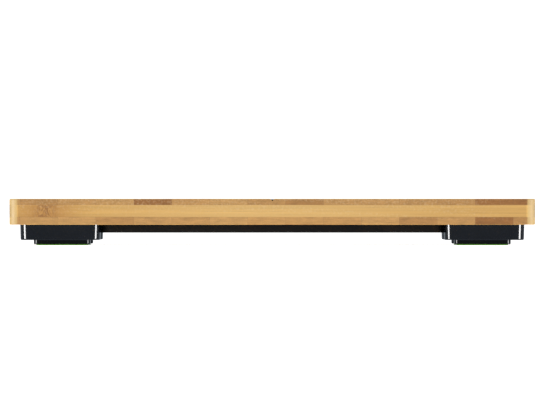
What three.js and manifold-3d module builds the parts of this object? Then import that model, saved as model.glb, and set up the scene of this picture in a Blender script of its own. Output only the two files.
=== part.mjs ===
// A slim kitchen scale: a laminated bamboo platform that stands on four load-cell feet.
// Millimetres, +Z up. X is the width, Y the depth with the front edge at -Y, and the origin is on the
// table under the middle of the platform.
import * as THREE from "three";
import { mergeVertices } from "three/addons/utils/BufferGeometryUtils.js";
import Module from "manifold-3d";

const wasm = await Module();
wasm.setup();

// ---------------------------------------------------------------- driving dimensions

const SEAT_GAP = 0.3; // running or assembly clearance between two neighbouring pieces
const ARC_STEPS = 6; // facets in each quarter-round corner
const ROUND_STEPS = 24; // facets round a turned piece
const SCREW_STEPS = 10; // facets round a small screw

const board = { width: 250, depth: 180, thickness: 12.3, corner: 5, ease: 0.5 };
const groove = { pitch: 63.3, width: 1.3, depth: 0.65, midWidth: 1.9, midDepth: 1.1 };

const foot = { inset: 5, padProud: 0.5, shoeProud: 2 };
const housing = { side: 38.2, height: 7.3, draft: 0.4, corner: 6, wall: 1.8, floor: 1.6, ease: 0.5 };
const shoe = { side: 26.9, corner: 3, inboard: 0.8, gap: 0.6, tabWidth: 14, tabReach: 1.15, tabThick: 1 };
const pad = { side: 24.4, corner: 2.2, thickness: 1.2 };
const shoeBoss = { radius: 4, height: 0.7 };
const cell = { side: 27, corner: 5, thickness: 1.5, window: 19, tongue: 11 };
const carrierSkirt = 1;
const cellLead = { radius: 0.8, drop: 0.95, offset: 6, notch: 3.6 };

const tray = { height: 3.8, floor: 1.6, wall: 1.6, frontInset: 10, sideInset: 12, corner: 4, gap: 0.5 };
const label = { length: 62, width: 34, thickness: 0.2, recess: 0.3, fromPanel: 36 };
const door = { sideRoom: 1.8, length: 44, ribThick: 1.4, flange: 2, flangeThick: 0.9, travel: 36 };
const doorGrip = { count: 4, pitch: 2.4, width: 1.2, length: 16, depth: 0.5, fromEdge: 5 };

const panel = { frontInset: 30, length: 110, width: 26, sunk: 0.2, flangeX: 6.6, flangeY: 3.2, flangeThick: 1.5, corner: 2.7 };
const panelTop = 1.8; // thickness of the fascia's top plate
const skin = 4.5; // bamboo left above the electronics pocket
const lens = { length: 54, width: 19, thickness: 1.2, corner: 2.5, sunk: 0.1, gap: 0.15 };
const aperture = { length: 47, width: 14, corner: 1 };
const lcd = { length: 52, width: 20, thickness: 2.6 };
const contactStrip = { length: 44, width: 1.8 };
const circuit = { length: 106, width: 26, thickness: 1.2, gapBelowFlange: 1.9 };
const stake = { x: 32, radius: 1.4, shoulder: 2.8, head: 0.8 };
const chip = { radius: 6, height: 1.4, rim: 0.5 };

const key = { x: 45, radius: 6, flange: 0.8, flangeThick: 1, stem: 2, dish: 0.3, proud: 0.1 };
const tact = { side: 6, height: 3.1, plunger: 1.65, bore: 1.95, plungerProud: 1, plungerLength: 2.6 };

const keyRoom = 0.5; // clearance round each button's flange

const coin = { radius: 10, height: 3.2, capRadius: 8.85, canHeight: 2.6 };
const holder = { fromDoorEnd: 18, wall: 2.4, roof: 0.8, height: 4.8, pocketGap: 0.4, cellGap: 0.4, notch: 6.6 };
const leaf = { thickness: 0.35, width: 5 };
const batteryLead = { x: -6, radius: 0.65 };

const panelScrew = { shank: 1.1, head: 2.2, headThick: 1.1, inset: 3.3, bite: 3.2 };
const trayScrew = { insetX: 11, insetY: 9, shank: 1.3, head: 2.5, headThick: 1.5, boss: 3.6, bite: 5.8, sunk: 0.4 };
const housingScrew = { inset: 3.9, shank: 0.9, head: 1.8, headThick: 1.4, boss: 2.5, bite: 5.8, sunk: 0.4 };

// ---------------------------------------------------------------- levels above the table

const shoeBottom = foot.padProud;
const housingBottom = shoeBottom + foot.shoeProud;
const underside = housingBottom + housing.height; // the platform's lower face
const topFace = underside + board.thickness;
const housingFloorTop = housingBottom + housing.floor;
const shoeTop = housingFloorTop + SEAT_GAP + shoe.tabThick;
const cellBottom = shoeTop + shoeBoss.height + SEAT_GAP;
const cellTop = cellBottom + cell.thickness;
const trayBottom = underside - tray.height;
const trayFloorTop = trayBottom + tray.floor;
const pocketRoof = topFace - skin;
const flangeTop = pocketRoof - SEAT_GAP;
const flangeBottom = flangeTop - panel.flangeThick;
const panelFace = topFace - panel.sunk;
const plateBottom = panelFace - panelTop;
const lcdTop = plateBottom - SEAT_GAP;
const lcdBottom = lcdTop - lcd.thickness;
const circuitTop = flangeBottom - circuit.gapBelowFlange;
const circuitBottom = circuitTop - circuit.thickness;
const leadEnd = circuitBottom - 2 * SEAT_GAP;
const coinBottom = trayFloorTop + SEAT_GAP;
const holderBottom = coinBottom + SEAT_GAP;
const holderTop = holderBottom + holder.height;

// ---------------------------------------------------------------- places in plan

const footX = board.width / 2 - foot.inset - housing.side / 2;
const footY = board.depth / 2 - foot.inset - housing.side / 2;
const trayArmX = footX - housing.side / 2 - tray.gap; // half width of the arm between left and right feet
const trayArmY = footY - housing.side / 2 - tray.gap; // half depth of the arm between front and rear feet
const trayEndY = board.depth / 2 - tray.frontInset;
const trayEndX = board.width / 2 - tray.sideInset;
const labelY = label.fromPanel + panel.frontInset - board.depth / 2;
const panelY = panel.frontInset - board.depth / 2;
const pocketX = panel.length / 2 + panel.flangeX + SEAT_GAP; // half the electronics pocket's width
const cupInner = coin.radius + holder.cellGap;
const cupOuter = cupInner + holder.wall;
const doorHalf = cupOuter + door.sideRoom + door.ribThick;
const doorFront = trayEndY - door.length; // the door's inner end
const holderY = doorFront + holder.fromDoorEnd;
const shoeHole = shoe.side + 2 * shoe.gap;
const cavitySide = housing.side - 2 * housing.wall;
const leadLevel = underside - cellLead.drop;
const corners = [
  { name: "front_left", sx: -1, sy: -1 },
  { name: "front_right", sx: 1, sy: -1 },
  { name: "rear_left", sx: -1, sy: 1 },
  { name: "rear_right", sx: 1, sy: 1 },
];

// ---------------------------------------------------------------- materials

function finish(color, roughness, metalness = 0) {
  return new THREE.MeshStandardMaterial({ color, roughness, metalness });
}

const bamboo = finish(0xd2a468, 0.55);
const glossBlack = finish(0x15161a, 0.25);
const satinBlack = finish(0x101013, 0.5);
const greenRubber = finish(0x5c8f35, 0.8);
const steel = finish(0x9a9da0, 0.35, 1);
const zinc = finish(0xb9bcc0, 0.3, 1);
const smokedLens = finish(0x20242a, 0.05);
const displayGlass = finish(0x9aa596, 0.2);
const stripRubber = finish(0xd8c7c0, 0.8);
const circuitGreen = finish(0x1f5a34, 0.5);
const epoxy = finish(0x0c0c0e, 0.35);
const silverKey = finish(0xc4c6c8, 0.3, 0.8);
const leadSleeve = finish(0x2b2b2d, 0.6);
const labelPaper = finish(0xc9cbcd, 0.6);

// ---------------------------------------------------------------- solids

function toSolid(geometry) {
  const loose = geometry.index ? geometry.toNonIndexed() : geometry;
  const bare = new THREE.BufferGeometry().setAttribute("position", loose.getAttribute("position"));
  const merged = mergeVertices(bare, 1e-4);
  const triVerts = new Uint32Array(merged.index.array);
  const vertProperties = new Float32Array(merged.attributes.position.array);
  return new wasm.Manifold(new wasm.Mesh({ numProp: 3, vertProperties, triVerts }));
}

function toGeometry(solid) {
  const mesh = solid.getMesh();
  return new THREE.BufferGeometry()
    .setAttribute("position", new THREE.BufferAttribute(mesh.vertProperties, 3))
    .setIndex(new THREE.BufferAttribute(mesh.triVerts, 1));
}

function joined(...geometries) {
  return geometries.map(toSolid).reduce((whole, next) => whole.add(next));
}

function cutAway(solid, ...geometries) {
  return geometries.map(toSolid).reduce((whole, tool) => whole.subtract(tool), solid);
}

function roundedRect(width, depth, radius) {
  const x = width / 2 - radius;
  const y = depth / 2 - radius;
  const shape = new THREE.Shape();
  shape.absarc(x, y, radius, 0, Math.PI / 2);
  shape.absarc(-x, y, radius, Math.PI / 2, Math.PI);
  shape.absarc(-x, -y, radius, Math.PI, 1.5 * Math.PI);
  shape.absarc(x, -y, radius, 1.5 * Math.PI, 2 * Math.PI);
  return shape;
}

function prism(shape, bottom, top, steps = ARC_STEPS) {
  const options = { depth: top - bottom, bevelEnabled: false, curveSegments: steps / 2 };
  return new THREE.ExtrudeGeometry(shape, options).translate(0, 0, bottom);
}

// A prism whose lower and upper edges are eased by a small chamfer.
function easedPrism(shape, bottom, top, ease) {
  const options = {
    depth: top - bottom - 2 * ease,
    bevelThickness: ease,
    bevelSize: ease,
    bevelOffset: -ease,
    bevelSegments: 1,
    curveSegments: ARC_STEPS / 2,
  };
  return new THREE.ExtrudeGeometry(shape, options).translate(0, 0, bottom + ease);
}

function block(x0, x1, y0, y1, z0, z1) {
  const box = new THREE.BoxGeometry(x1 - x0, y1 - y0, z1 - z0);
  return box.translate((x0 + x1) / 2, (y0 + y1) / 2, (z0 + z1) / 2);
}

function disc(radius, bottom, top, x = 0, y = 0, steps = ROUND_STEPS) {
  const cylinder = new THREE.CylinderGeometry(radius, radius, top - bottom, steps);
  return cylinder.rotateX(Math.PI / 2).translate(x, y, (bottom + top) / 2);
}

// A piece turned about Z from [radius, height] points, listed from the foot of the axis to its top.
function turned(points, steps = ROUND_STEPS) {
  const profile = points.map(([radius, height]) => new THREE.Vector2(radius, height));
  return new THREE.LatheGeometry(profile, steps).rotateX(Math.PI / 2);
}

// A thin round lead that follows the points.
function lead(points, radius, steps) {
  const section = new THREE.Shape().absarc(0, 0, radius, 0, 2 * Math.PI);
  const route = new THREE.CatmullRomCurve3(points.map((p) => new THREE.Vector3(...p)));
  return new THREE.ExtrudeGeometry(section, { steps, extrudePath: route, curveSegments: 4 });
}

// A pan-head screw that points up, with the underside of its head at the origin.
function screw({ shank, head, headThick }, length) {
  const tip = shank * 0.3;
  return turned(
    [
      [0, -headThick],
      [head * 0.8, -headThick],
      [head, -headThick * 0.6],
      [head, 0],
      [shank, 0],
      [shank, length - shank],
      [tip, length],
      [0, length],
    ],
    SCREW_STEPS,
  );
}

const scale = new THREE.Group();

function addPiece(parent, name, shape, material, place = [0, 0, 0]) {
  const geometry = shape.isBufferGeometry ? shape : toGeometry(shape);
  const mesh = new THREE.Mesh(geometry, material);
  mesh.name = name;
  mesh.position.set(...place);
  parent.add(mesh);
}

// ---------------------------------------------------------------- bamboo platform

// V-grooves that run front to back across the platform's top; the middle one is the larger.
function grooveCutters() {
  return [-1, 0, 1].map((side) => {
    const width = side ? groove.width : groove.midWidth;
    const depth = side ? groove.depth : groove.midDepth;
    const vee = new THREE.Shape([
      new THREE.Vector2(0, -depth),
      new THREE.Vector2(width, depth),
      new THREE.Vector2(-width, depth),
    ]);
    const bar = new THREE.ExtrudeGeometry(vee, { depth: board.depth + 2, bevelEnabled: false });
    return bar.rotateX(Math.PI / 2).translate(side * groove.pitch, board.depth / 2 + 1, topFace);
  });
}

function pilotHole({ shank, bite }, x, y, mouth) {
  return disc(shank + SEAT_GAP, mouth - 1, mouth + bite + SEAT_GAP, x, y, SCREW_STEPS);
}

function fasciaScrewPlaces() {
  const x = panel.length / 2 + panel.flangeX - panelScrew.inset;
  return [-1, 1].map((sx) => [sx * x, panelY]);
}

function trayScrewPlaces() {
  const x = trayArmX - trayScrew.insetX;
  const y = trayEndY - trayScrew.insetY;
  return corners.map(({ sx, sy }) => [sx * x, sy * y]);
}

// Two screws hold each foot housing, at opposite corners of its square.
function housingScrewOffsets({ sx, sy }) {
  const reach = housing.side / 2 - housingScrew.inset;
  return [
    [sx * reach, sy * reach],
    [-sx * reach, -sy * reach],
  ];
}

function platform() {
  const outline = roundedRect(board.width, board.depth, board.corner);
  const slab = toSolid(easedPrism(outline, underside, topFace, board.ease));
  const window = roundedRect(panel.length, panel.width, panel.width / 2);
  const pocket = roundedRect(
    2 * pocketX,
    panel.width + 2 * (panel.flangeY + SEAT_GAP),
    panel.corner + SEAT_GAP,
  );
  const cutters = [
    prism(window, pocketRoof - 1, topFace + 1, 10).translate(0, panelY, 0),
    prism(pocket, underside - 1, pocketRoof, 4).translate(0, panelY, 0),
    disc(cupOuter + holder.pocketGap, underside - 1, holderTop + SEAT_GAP, 0, holderY),
    ...grooveCutters(),
    ...fasciaScrewPlaces().map(([x, y]) => pilotHole(panelScrew, x, y, pocketRoof)),
    ...trayScrewPlaces().map(([x, y]) => pilotHole(trayScrew, x, y, underside)),
    ...corners.flatMap((corner) =>
      housingScrewOffsets(corner).map(([dx, dy]) =>
        pilotHole(housingScrew, corner.sx * footX + dx, corner.sy * footY + dy, underside),
      ),
    ),
  ];
  return cutAway(slab, ...cutters);
}

// ---------------------------------------------------------------- control panel

function fascia() {
  const gap = 2 * SEAT_GAP;
  const face = roundedRect(panel.length - gap, panel.width - gap, panel.width / 2 - SEAT_GAP);
  const flange = roundedRect(panel.length + 2 * panel.flangeX, panel.width + 2 * panel.flangeY, panel.corner);
  const recess = roundedRect(lens.length + 2 * lens.gap, lens.width + 2 * lens.gap, lens.corner);
  const opening = roundedRect(aperture.length, aperture.width, aperture.corner);
  const lensFloor = panelFace - lens.sunk - lens.thickness;
  const well = [lcd.length / 2 + SEAT_GAP, lcd.width / 2 + SEAT_GAP];
  let solid = joined(
    prism(face, flangeTop - 0.5, panelFace, 10),
    prism(flange, flangeBottom, flangeTop, 4),
    ...[-1, 1].map((s) => disc(stake.shoulder, circuitTop, flangeBottom + 1, s * stake.x, 0, 12)),
    ...[-1, 1].map((s) => disc(stake.radius, circuitBottom - SEAT_GAP - 0.4, circuitTop + 1, s * stake.x, 0, 10)),
    ...[-1, 1].map((s) => {
      const bottom = circuitBottom - SEAT_GAP - stake.head;
      return disc(stake.shoulder - 0.6, bottom, circuitBottom - SEAT_GAP + 0.1, s * stake.x, 0, 12);
    }),
  );
  solid = cutAway(
    solid,
    prism(recess, lensFloor, panelFace + 1, 4),
    prism(opening, plateBottom - 1, panelFace + 1, 2),
    block(-well[0], well[0], -well[1], well[1], flangeBottom - 1, plateBottom),
    ...[-1, 1].flatMap((s) => [
      disc(key.radius + SEAT_GAP, plateBottom - 1, panelFace + 1, s * key.x, 0),
      disc(key.radius + key.flange + keyRoom, flangeBottom - 1, plateBottom, s * key.x, 0),
    ]),
    ...fasciaScrewPlaces().map(([x, y]) =>
      disc(panelScrew.shank + SEAT_GAP, flangeBottom - 1, flangeTop + 1, x, y - panelY, SCREW_STEPS),
    ),
  );
  return solid.translate([0, panelY, 0]);
}

function circuitBoard() {
  const outline = roundedRect(circuit.length, circuit.width, 1.5);
  const holes = [-1, 1].map((s) => disc(stake.radius + SEAT_GAP, 0, topFace, s * stake.x, 0, 10));
  return cutAway(toSolid(prism(outline, circuitBottom, circuitTop, 2)), ...holes).translate([0, panelY, 0]);
}

function controllerChip() {
  const { radius, height, rim } = chip;
  return turned([
    [0, -height],
    [radius * 0.45, -height * 0.93],
    [radius * 0.8, -height * 0.65],
    [radius, -rim * 0.5],
    [radius, 0],
    [0, 0],
  ]);
}

function buttonCap() {
  const top = panelFace + key.proud;
  const flangeTopLevel = plateBottom - SEAT_GAP;
  const flangeBase = flangeTopLevel - key.flangeThick;
  const stemEnd = circuitTop + tact.height + tact.plungerProud + SEAT_GAP;
  return turned([
    [0, stemEnd],
    [key.stem, stemEnd],
    [key.stem, flangeBase],
    [key.radius + key.flange, flangeBase],
    [key.radius + key.flange, flangeTopLevel],
    [key.radius, flangeTopLevel],
    [key.radius, top - 0.4],
    [key.radius - 0.4, top],
    [key.radius * 0.6, top - key.dish * 0.7],
    [0, top - key.dish],
  ]);
}

function tactSwitch() {
  const half = tact.side / 2;
  const body = toSolid(block(-half, half, -half, half, circuitTop, circuitTop + tact.height));
  return cutAway(body, disc(tact.bore, circuitTop + 0.8, circuitTop + tact.height + 1, 0, 0, 12));
}

function tactPlunger() {
  const top = circuitTop + tact.height + tact.plungerProud;
  return disc(tact.plunger, top - tact.plungerLength, top, 0, 0, 12);
}

function controlPanel() {
  const group = new THREE.Group();
  const lensTop = panelFace - lens.sunk;
  const lensShape = roundedRect(lens.length, lens.width, lens.corner - lens.gap);
  const stripY = panelY - lcd.width / 2 + contactStrip.width / 2 + 1;
  const stripHalf = [contactStrip.length / 2, contactStrip.width / 2];
  addPiece(group, "control_fascia", fascia(), glossBlack);
  addPiece(group, "display_lens", prism(lensShape, lensTop - lens.thickness, lensTop, 4), smokedLens, [
    0,
    panelY,
    0,
  ]);
  addPiece(
    group,
    "lcd_panel",
    block(-lcd.length / 2, lcd.length / 2, -lcd.width / 2, lcd.width / 2, lcdBottom, lcdTop),
    displayGlass,
    [0, panelY, 0],
  );
  addPiece(
    group,
    "lcd_contact_strip",
    block(-stripHalf[0], stripHalf[0], stripY - stripHalf[1], stripY + stripHalf[1], circuitTop, lcdBottom),
    stripRubber,
  );
  addPiece(group, "main_board", circuitBoard(), circuitGreen);
  addPiece(group, "controller_chip", controllerChip(), epoxy, [0, panelY, circuitBottom]);
  [["tare", 1], ["unit", -1]].forEach(([name, side]) => {
    const place = [side * key.x, panelY, 0];
    addPiece(group, `button_${name}`, buttonCap(), silverKey, place);
    addPiece(group, `tact_switch_${name}`, tactSwitch(), satinBlack, place);
    addPiece(group, `tact_plunger_${name}`, tactPlunger(), stripRubber, place);
  });
  fasciaScrewPlaces().forEach(([x, y], i) => {
    const length = panel.flangeThick + SEAT_GAP + panelScrew.bite;
    addPiece(group, `fascia_screw_${i + 1}`, screw(panelScrew, length), zinc, [x, y, flangeBottom]);
  });
  return group;
}

// ---------------------------------------------------------------- base tray and battery

// The tray's plan is a cross: one arm between the left and right feet, one between front and rear.
function cross(inset, bottom, top) {
  const corner = Math.max(tray.corner - inset, 0.5);
  return joined(
    prism(roundedRect(2 * (trayArmX - inset), 2 * (trayEndY - inset), corner), bottom, top),
    prism(roundedRect(2 * (trayEndX - inset), 2 * (trayArmY - inset), corner), bottom, top),
  );
}

const doorOpening = doorHalf + SEAT_GAP;
const doorChannel = doorHalf + door.flange + SEAT_GAP;
const flangeSeat = trayFloorTop + SEAT_GAP;
const flangeLid = flangeSeat + door.flangeThick;

function baseTray() {
  const inner = cross(tray.wall, trayFloorTop, underside + 1);
  const rails = [-1, 1].map((s) => {
    const x = [s * doorChannel, s * (doorChannel + tray.wall)].sort((a, b) => a - b);
    return block(x[0], x[1], doorFront, trayEndY - 0.2, trayFloorTop - 0.2, underside);
  });
  const bosses = trayScrewPlaces().map(([x, y]) => disc(trayScrew.boss, trayBottom, underside, x, y, 16));
  const solid = [...rails, ...bosses].map(toSolid).reduce(
    (whole, next) => whole.add(next),
    cross(0, trayBottom, underside).subtract(inner),
  );
  const notchLow = leadLevel - cellLead.radius - SEAT_GAP;
  const leadY = footY - cellLead.offset;
  const notches = corners.map(({ sx, sy }) => {
    const x = [sx * (trayArmX - tray.wall - 1), sx * (trayArmX + 1)].sort((a, b) => a - b);
    const y = [sy * leadY - cellLead.notch / 2, sy * leadY + cellLead.notch / 2];
    return block(x[0], x[1], y[0], y[1], notchLow, underside + 1);
  });
  return cutAway(
    solid,
    block(-doorOpening, doorOpening, doorFront - SEAT_GAP, trayEndY + 1, trayBottom - 1, underside + 1),
    block(-doorChannel, doorChannel, doorFront - SEAT_GAP, trayEndY + 1, trayFloorTop, underside + 1),
    prism(labelOutline(SEAT_GAP), trayBottom - 1, trayBottom + label.recess, 2).translate(0, labelY, 0),
    ...notches,
    ...trayScrewPlaces().flatMap(([x, y]) => {
      const seat = trayBottom + trayScrew.sunk + trayScrew.headThick;
      return [
        disc(trayScrew.head + SEAT_GAP, trayBottom - 1, seat, x, y, 16),
        disc(trayScrew.shank + SEAT_GAP, trayBottom, underside + 1, x, y, SCREW_STEPS),
      ];
    }),
  );
}

function labelOutline(clearance) {
  return roundedRect(label.length + 2 * clearance, label.width + 2 * clearance, 1.5);
}

function batteryDoor() {
  const half = doorHalf;
  const ribs = [-1, 1].flatMap((s) => {
    const rib = [s * half, s * (half - door.ribThick)].sort((a, b) => a - b);
    const wing = [s * (half - door.ribThick), s * (half + door.flange)].sort((a, b) => a - b);
    return [
      block(rib[0], rib[1], doorFront, trayEndY, trayBottom + 0.1, flangeLid),
      block(wing[0], wing[1], doorFront, trayEndY, flangeSeat, flangeLid),
    ];
  });
  const solid = joined(
    block(-half, half, doorFront, trayEndY, trayBottom, trayFloorTop),
    block(-half, half, trayEndY - tray.wall, trayEndY, trayBottom + 0.1, underside - SEAT_GAP),
    block(-half - door.flange, half + door.flange, trayEndY - tray.wall, trayEndY, flangeSeat, underside - SEAT_GAP),
    ...ribs,
  );
  const grips = Array.from({ length: doorGrip.count }, (_, i) => {
    const y = trayEndY - doorGrip.fromEdge - i * doorGrip.pitch;
    const x = doorGrip.length / 2;
    return block(-x, x, y - doorGrip.width, y, trayBottom - 1, trayBottom + doorGrip.depth);
  });
  return cutAway(solid, ...grips);
}

function coinCell() {
  const { radius, height, capRadius, canHeight } = coin;
  return turned([
    [0, 0],
    [radius - 0.3, 0],
    [radius, 0.3],
    [radius, canHeight - 0.2],
    [radius - 0.3, canHeight],
    [capRadius + 0.1, canHeight],
    [capRadius - 0.1, height],
    [0, height],
  ]);
}

function batteryHolder() {
  const cup = toSolid(disc(cupOuter, holderBottom, holderTop));
  const notch = holder.notch / 2;
  return cutAway(
    cup,
    disc(cupInner, holderBottom - 1, holderTop - holder.roof),
    block(cupInner - 1, cupOuter + 1, -notch, notch, holderBottom - 1, holderTop + 1),
  );
}

// A leaf spring with a shallow hump that presses on the cell's cap.
function negativeContact() {
  const flat = holderTop - holder.roof - 0.05;
  const low = coinBottom + coin.height + 0.2;
  const t = leaf.thickness;
  const half = coin.radius * 0.7;
  const profile = new THREE.Shape();
  profile.moveTo(-half, flat);
  profile.lineTo(-half, flat - t);
  profile.lineTo(-half * 0.5, flat - t);
  profile.lineTo(-half * 0.15, low);
  profile.lineTo(half * 0.15, low);
  profile.lineTo(half * 0.5, flat - t);
  profile.lineTo(half, flat - t);
  profile.lineTo(half, flat);
  profile.lineTo(half * 0.45, flat);
  profile.lineTo(half * 0.1, low + t);
  profile.lineTo(-half * 0.1, low + t);
  profile.lineTo(-half * 0.45, flat);
  const strip = new THREE.ExtrudeGeometry(profile, { depth: leaf.width, bevelEnabled: false });
  return strip.rotateX(Math.PI / 2).translate(0, leaf.width / 2, 0);
}

// A bent strip that stands beside the cell and grips the edge of its can.
function positiveContact() {
  const half = (holder.notch - 2 * SEAT_GAP) / 2;
  const x = cupInner;
  const foot = holderBottom + 0.3;
  return joined(
    block(x, x + leaf.thickness, -half, half, foot, holderTop - 0.3),
    block(x, cupOuter - 0.2, -half, half, foot, foot + leaf.thickness),
  );
}

function baseAndBattery() {
  const group = new THREE.Group();
  const at = [0, holderY, 0];
  const seat = trayBottom + trayScrew.sunk + trayScrew.headThick;
  const leadY = holderY - cupOuter;
  const circuitEdge = panelY + circuit.width / 2;
  addPiece(group, "base_tray", baseTray(), satinBlack);
  trayScrewPlaces().forEach(([x, y], i) => {
    const length = underside - seat + trayScrew.bite;
    addPiece(group, `tray_screw_${i + 1}`, screw(trayScrew, length), zinc, [x, y, seat]);
  });
  const labelTop = trayBottom + label.recess;
  const sticker = prism(labelOutline(0), labelTop - label.thickness, labelTop, 2);
  addPiece(group, "rating_label", sticker, labelPaper, [0, labelY, 0]);
  addPiece(group, "battery_door", batteryDoor(), satinBlack);
  addPiece(group, "battery_holder", batteryHolder(), satinBlack, at);
  addPiece(group, "battery_contact_positive", positiveContact(), zinc, at);
  addPiece(group, "battery_contact_negative", negativeContact(), zinc, at);
  addPiece(group, "coin_cell", coinCell(), steel, [0, holderY, coinBottom]);
  const z = underside - batteryLead.radius - 0.15;
  const route = [
    [batteryLead.x, leadY + 0.8, z],
    [batteryLead.x, leadY - 6, z],
    [batteryLead.x, 0, z],
    [batteryLead.x, circuitEdge + 8, z],
    [batteryLead.x, circuitEdge + 2, z],
    [batteryLead.x, circuitEdge - 1, z + 1],
    [batteryLead.x, circuitEdge - 3.4, circuitBottom - 1.3],
    [batteryLead.x, circuitEdge - 3.6, leadEnd],
  ];
  addPiece(group, "battery_lead", lead(route, batteryLead.radius, 24), leadSleeve);
  return group;
}

// ---------------------------------------------------------------- load-cell feet

// Draws a piece's plan in slightly towards its lower end, as a moulding's draft does.
function drafted(geometry, side, draft, bottom, top) {
  const position = geometry.getAttribute("position");
  for (let i = 0; i < position.count; i += 1) {
    const share = 1 - (draft / side) * ((top - position.getZ(i)) / (top - bottom));
    position.setX(i, position.getX(i) * share);
    position.setY(i, position.getY(i) * share);
  }
  return geometry;
}

function footHousing(corner) {
  const outline = roundedRect(housing.side, housing.side, housing.corner);
  const cavity = roundedRect(cavitySide, cavitySide, housing.corner - housing.wall);
  const hole = roundedRect(shoeHole, shoeHole, shoe.corner + 1);
  const outer = easedPrism(outline, housingBottom, underside + housing.ease, housing.ease);
  const lid = block(-housing.side, housing.side, -housing.side, housing.side, underside, underside + 1);
  const shell = cutAway(
    toSolid(drafted(outer, housing.side, housing.draft, housingBottom, underside)),
    lid,
    prism(cavity, housingFloorTop, underside + 1),
  );
  const offsets = housingScrewOffsets(corner);
  const room = roundedRect(housing.side - housing.wall, housing.side - housing.wall, housing.corner - 0.9);
  const limit = toSolid(prism(room, housingFloorTop - 0.5, underside));
  const bosses = offsets.map(([x, y]) => disc(housingScrew.boss, housingFloorTop - 0.5, underside, x, y, 16));
  const solid = bosses.map(toSolid).reduce((whole, boss) => whole.add(boss.intersect(limit)), shell);
  const seat = housingBottom + housingScrew.sunk + housingScrew.headThick;
  const inner = [-corner.sx * (cavitySide / 2 - 1), -corner.sx * (housing.side / 2 + 1)];
  const x = inner.sort((a, b) => a - b);
  const leadY = -corner.sy * cellLead.offset;
  const notchLow = leadLevel - cellLead.radius - SEAT_GAP;
  return cutAway(
    solid,
    prism(hole, housingBottom - 1, housingFloorTop + 0.1).translate(-corner.sx * shoe.inboard, 0, 0),
    block(x[0], x[1], leadY - cellLead.notch / 2, leadY + cellLead.notch / 2, notchLow, underside + 1),
    ...offsets.flatMap(([dx, dy]) => [
      disc(housingScrew.head + SEAT_GAP, housingBottom - 1, seat, dx, dy, 16),
      disc(housingScrew.shank + SEAT_GAP, housingBottom, underside + 1, dx, dy, SCREW_STEPS),
    ]),
  );
}

function footShoe() {
  const body = roundedRect(shoe.side, shoe.side, shoe.corner);
  const recess = roundedRect(pad.side + 0.2, pad.side + 0.2, pad.corner + 0.1);
  const reach = shoeHole / 2 + shoe.tabReach;
  const half = shoe.tabWidth / 2;
  const tabBottom = shoeTop - shoe.tabThick;
  const solid = joined(
    easedPrism(body, shoeBottom, shoeTop, 0.3),
    block(-reach, reach, -half, half, tabBottom, shoeTop),
    block(-half, half, -reach, reach, tabBottom, shoeTop),
    disc(shoeBoss.radius, shoeTop - 0.5, shoeTop + shoeBoss.height, 0, 0, 16),
  );
  return cutAway(solid, prism(recess, shoeBottom - 1, pad.thickness));
}

// A stamped plate: a square frame with a sprung tongue reaching in from its inboard side.
function loadCell(corner) {
  const frame = roundedRect(cell.side, cell.side, cell.corner);
  const half = cell.window / 2;
  const tongue = cell.tongue / 2;
  const window = block(-half, half, -half, half, cellBottom - 1, cellTop + 1);
  const tongueX = [-corner.sx * (half + 1), corner.sx * (half - 2.5)].sort((a, b) => a - b);
  return cutAway(toSolid(prism(frame, cellBottom, cellTop, 4)), window).add(
    toSolid(block(tongueX[0], tongueX[1], -tongue, tongue, cellBottom, cellTop)),
  );
}

// A moulded ring that seats the cell's frame under the platform and leaves the tongue free to bend.
function cellCarrier(corner) {
  const side = cell.side + 2 * (SEAT_GAP + carrierSkirt);
  const outline = roundedRect(side, side, cell.corner + SEAT_GAP + carrierSkirt);
  const nest = roundedRect(cell.side + 2 * SEAT_GAP, cell.side + 2 * SEAT_GAP, cell.corner + SEAT_GAP);
  const half = cell.window / 2;
  const leadY = -corner.sy * cellLead.offset;
  const x = [-corner.sx * (half - 1), -corner.sx * side].sort((a, b) => a - b);
  return cutAway(
    toSolid(prism(outline, cellBottom, underside, 4)),
    prism(nest, cellBottom - 1, cellTop, 4),
    block(-half, half, -half, half, cellBottom - 1, underside + 1),
    block(x[0], x[1], leadY - cellLead.notch / 2, leadY + cellLead.notch / 2, cellTop, underside + 1),
  );
}

function cellLeadRoute({ sx, sy }) {
  const y = sy * (footY - cellLead.offset);
  const start = footX - cell.window / 2 - 1;
  const z = leadLevel;
  const overCell = cellTop + cellLead.drop;
  const head = [
    [start, y, overCell],
    [start - 2, y, overCell],
    [footX - cavitySide / 2, y, z],
    [trayArmX, y, z],
  ];
  const edge = circuit.length / 2;
  const front = [
    [pocketX + 4, panelY, z],
    [pocketX - 1, panelY, z],
    [edge + 4, panelY, z + 0.6],
    [edge, panelY, z + 1.3],
    [edge - 3.8, panelY, circuitBottom - 1.6],
    [edge - 4.4, panelY, leadEnd],
  ];
  const rear = [
    [trayArmX - 7, y, z],
    [trayArmX - 15, y - 8, z],
    [edge + 7, y / 3, z],
    [edge + 3, -y / 3, z],
    [edge - 2, panelY + 20, z],
    [edge - 5, panelY + 15, z],
    [edge - 8, panelY + 11, z + 0.8],
    [edge - 11.6, panelY + 7.5, circuitBottom - 1.6],
    [edge - 12, panelY + 7.2, leadEnd],
  ];
  return [...head, ...(sy < 0 ? front : rear)].map(([x, py, pz]) => [sx * x, py, pz]);
}

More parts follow.
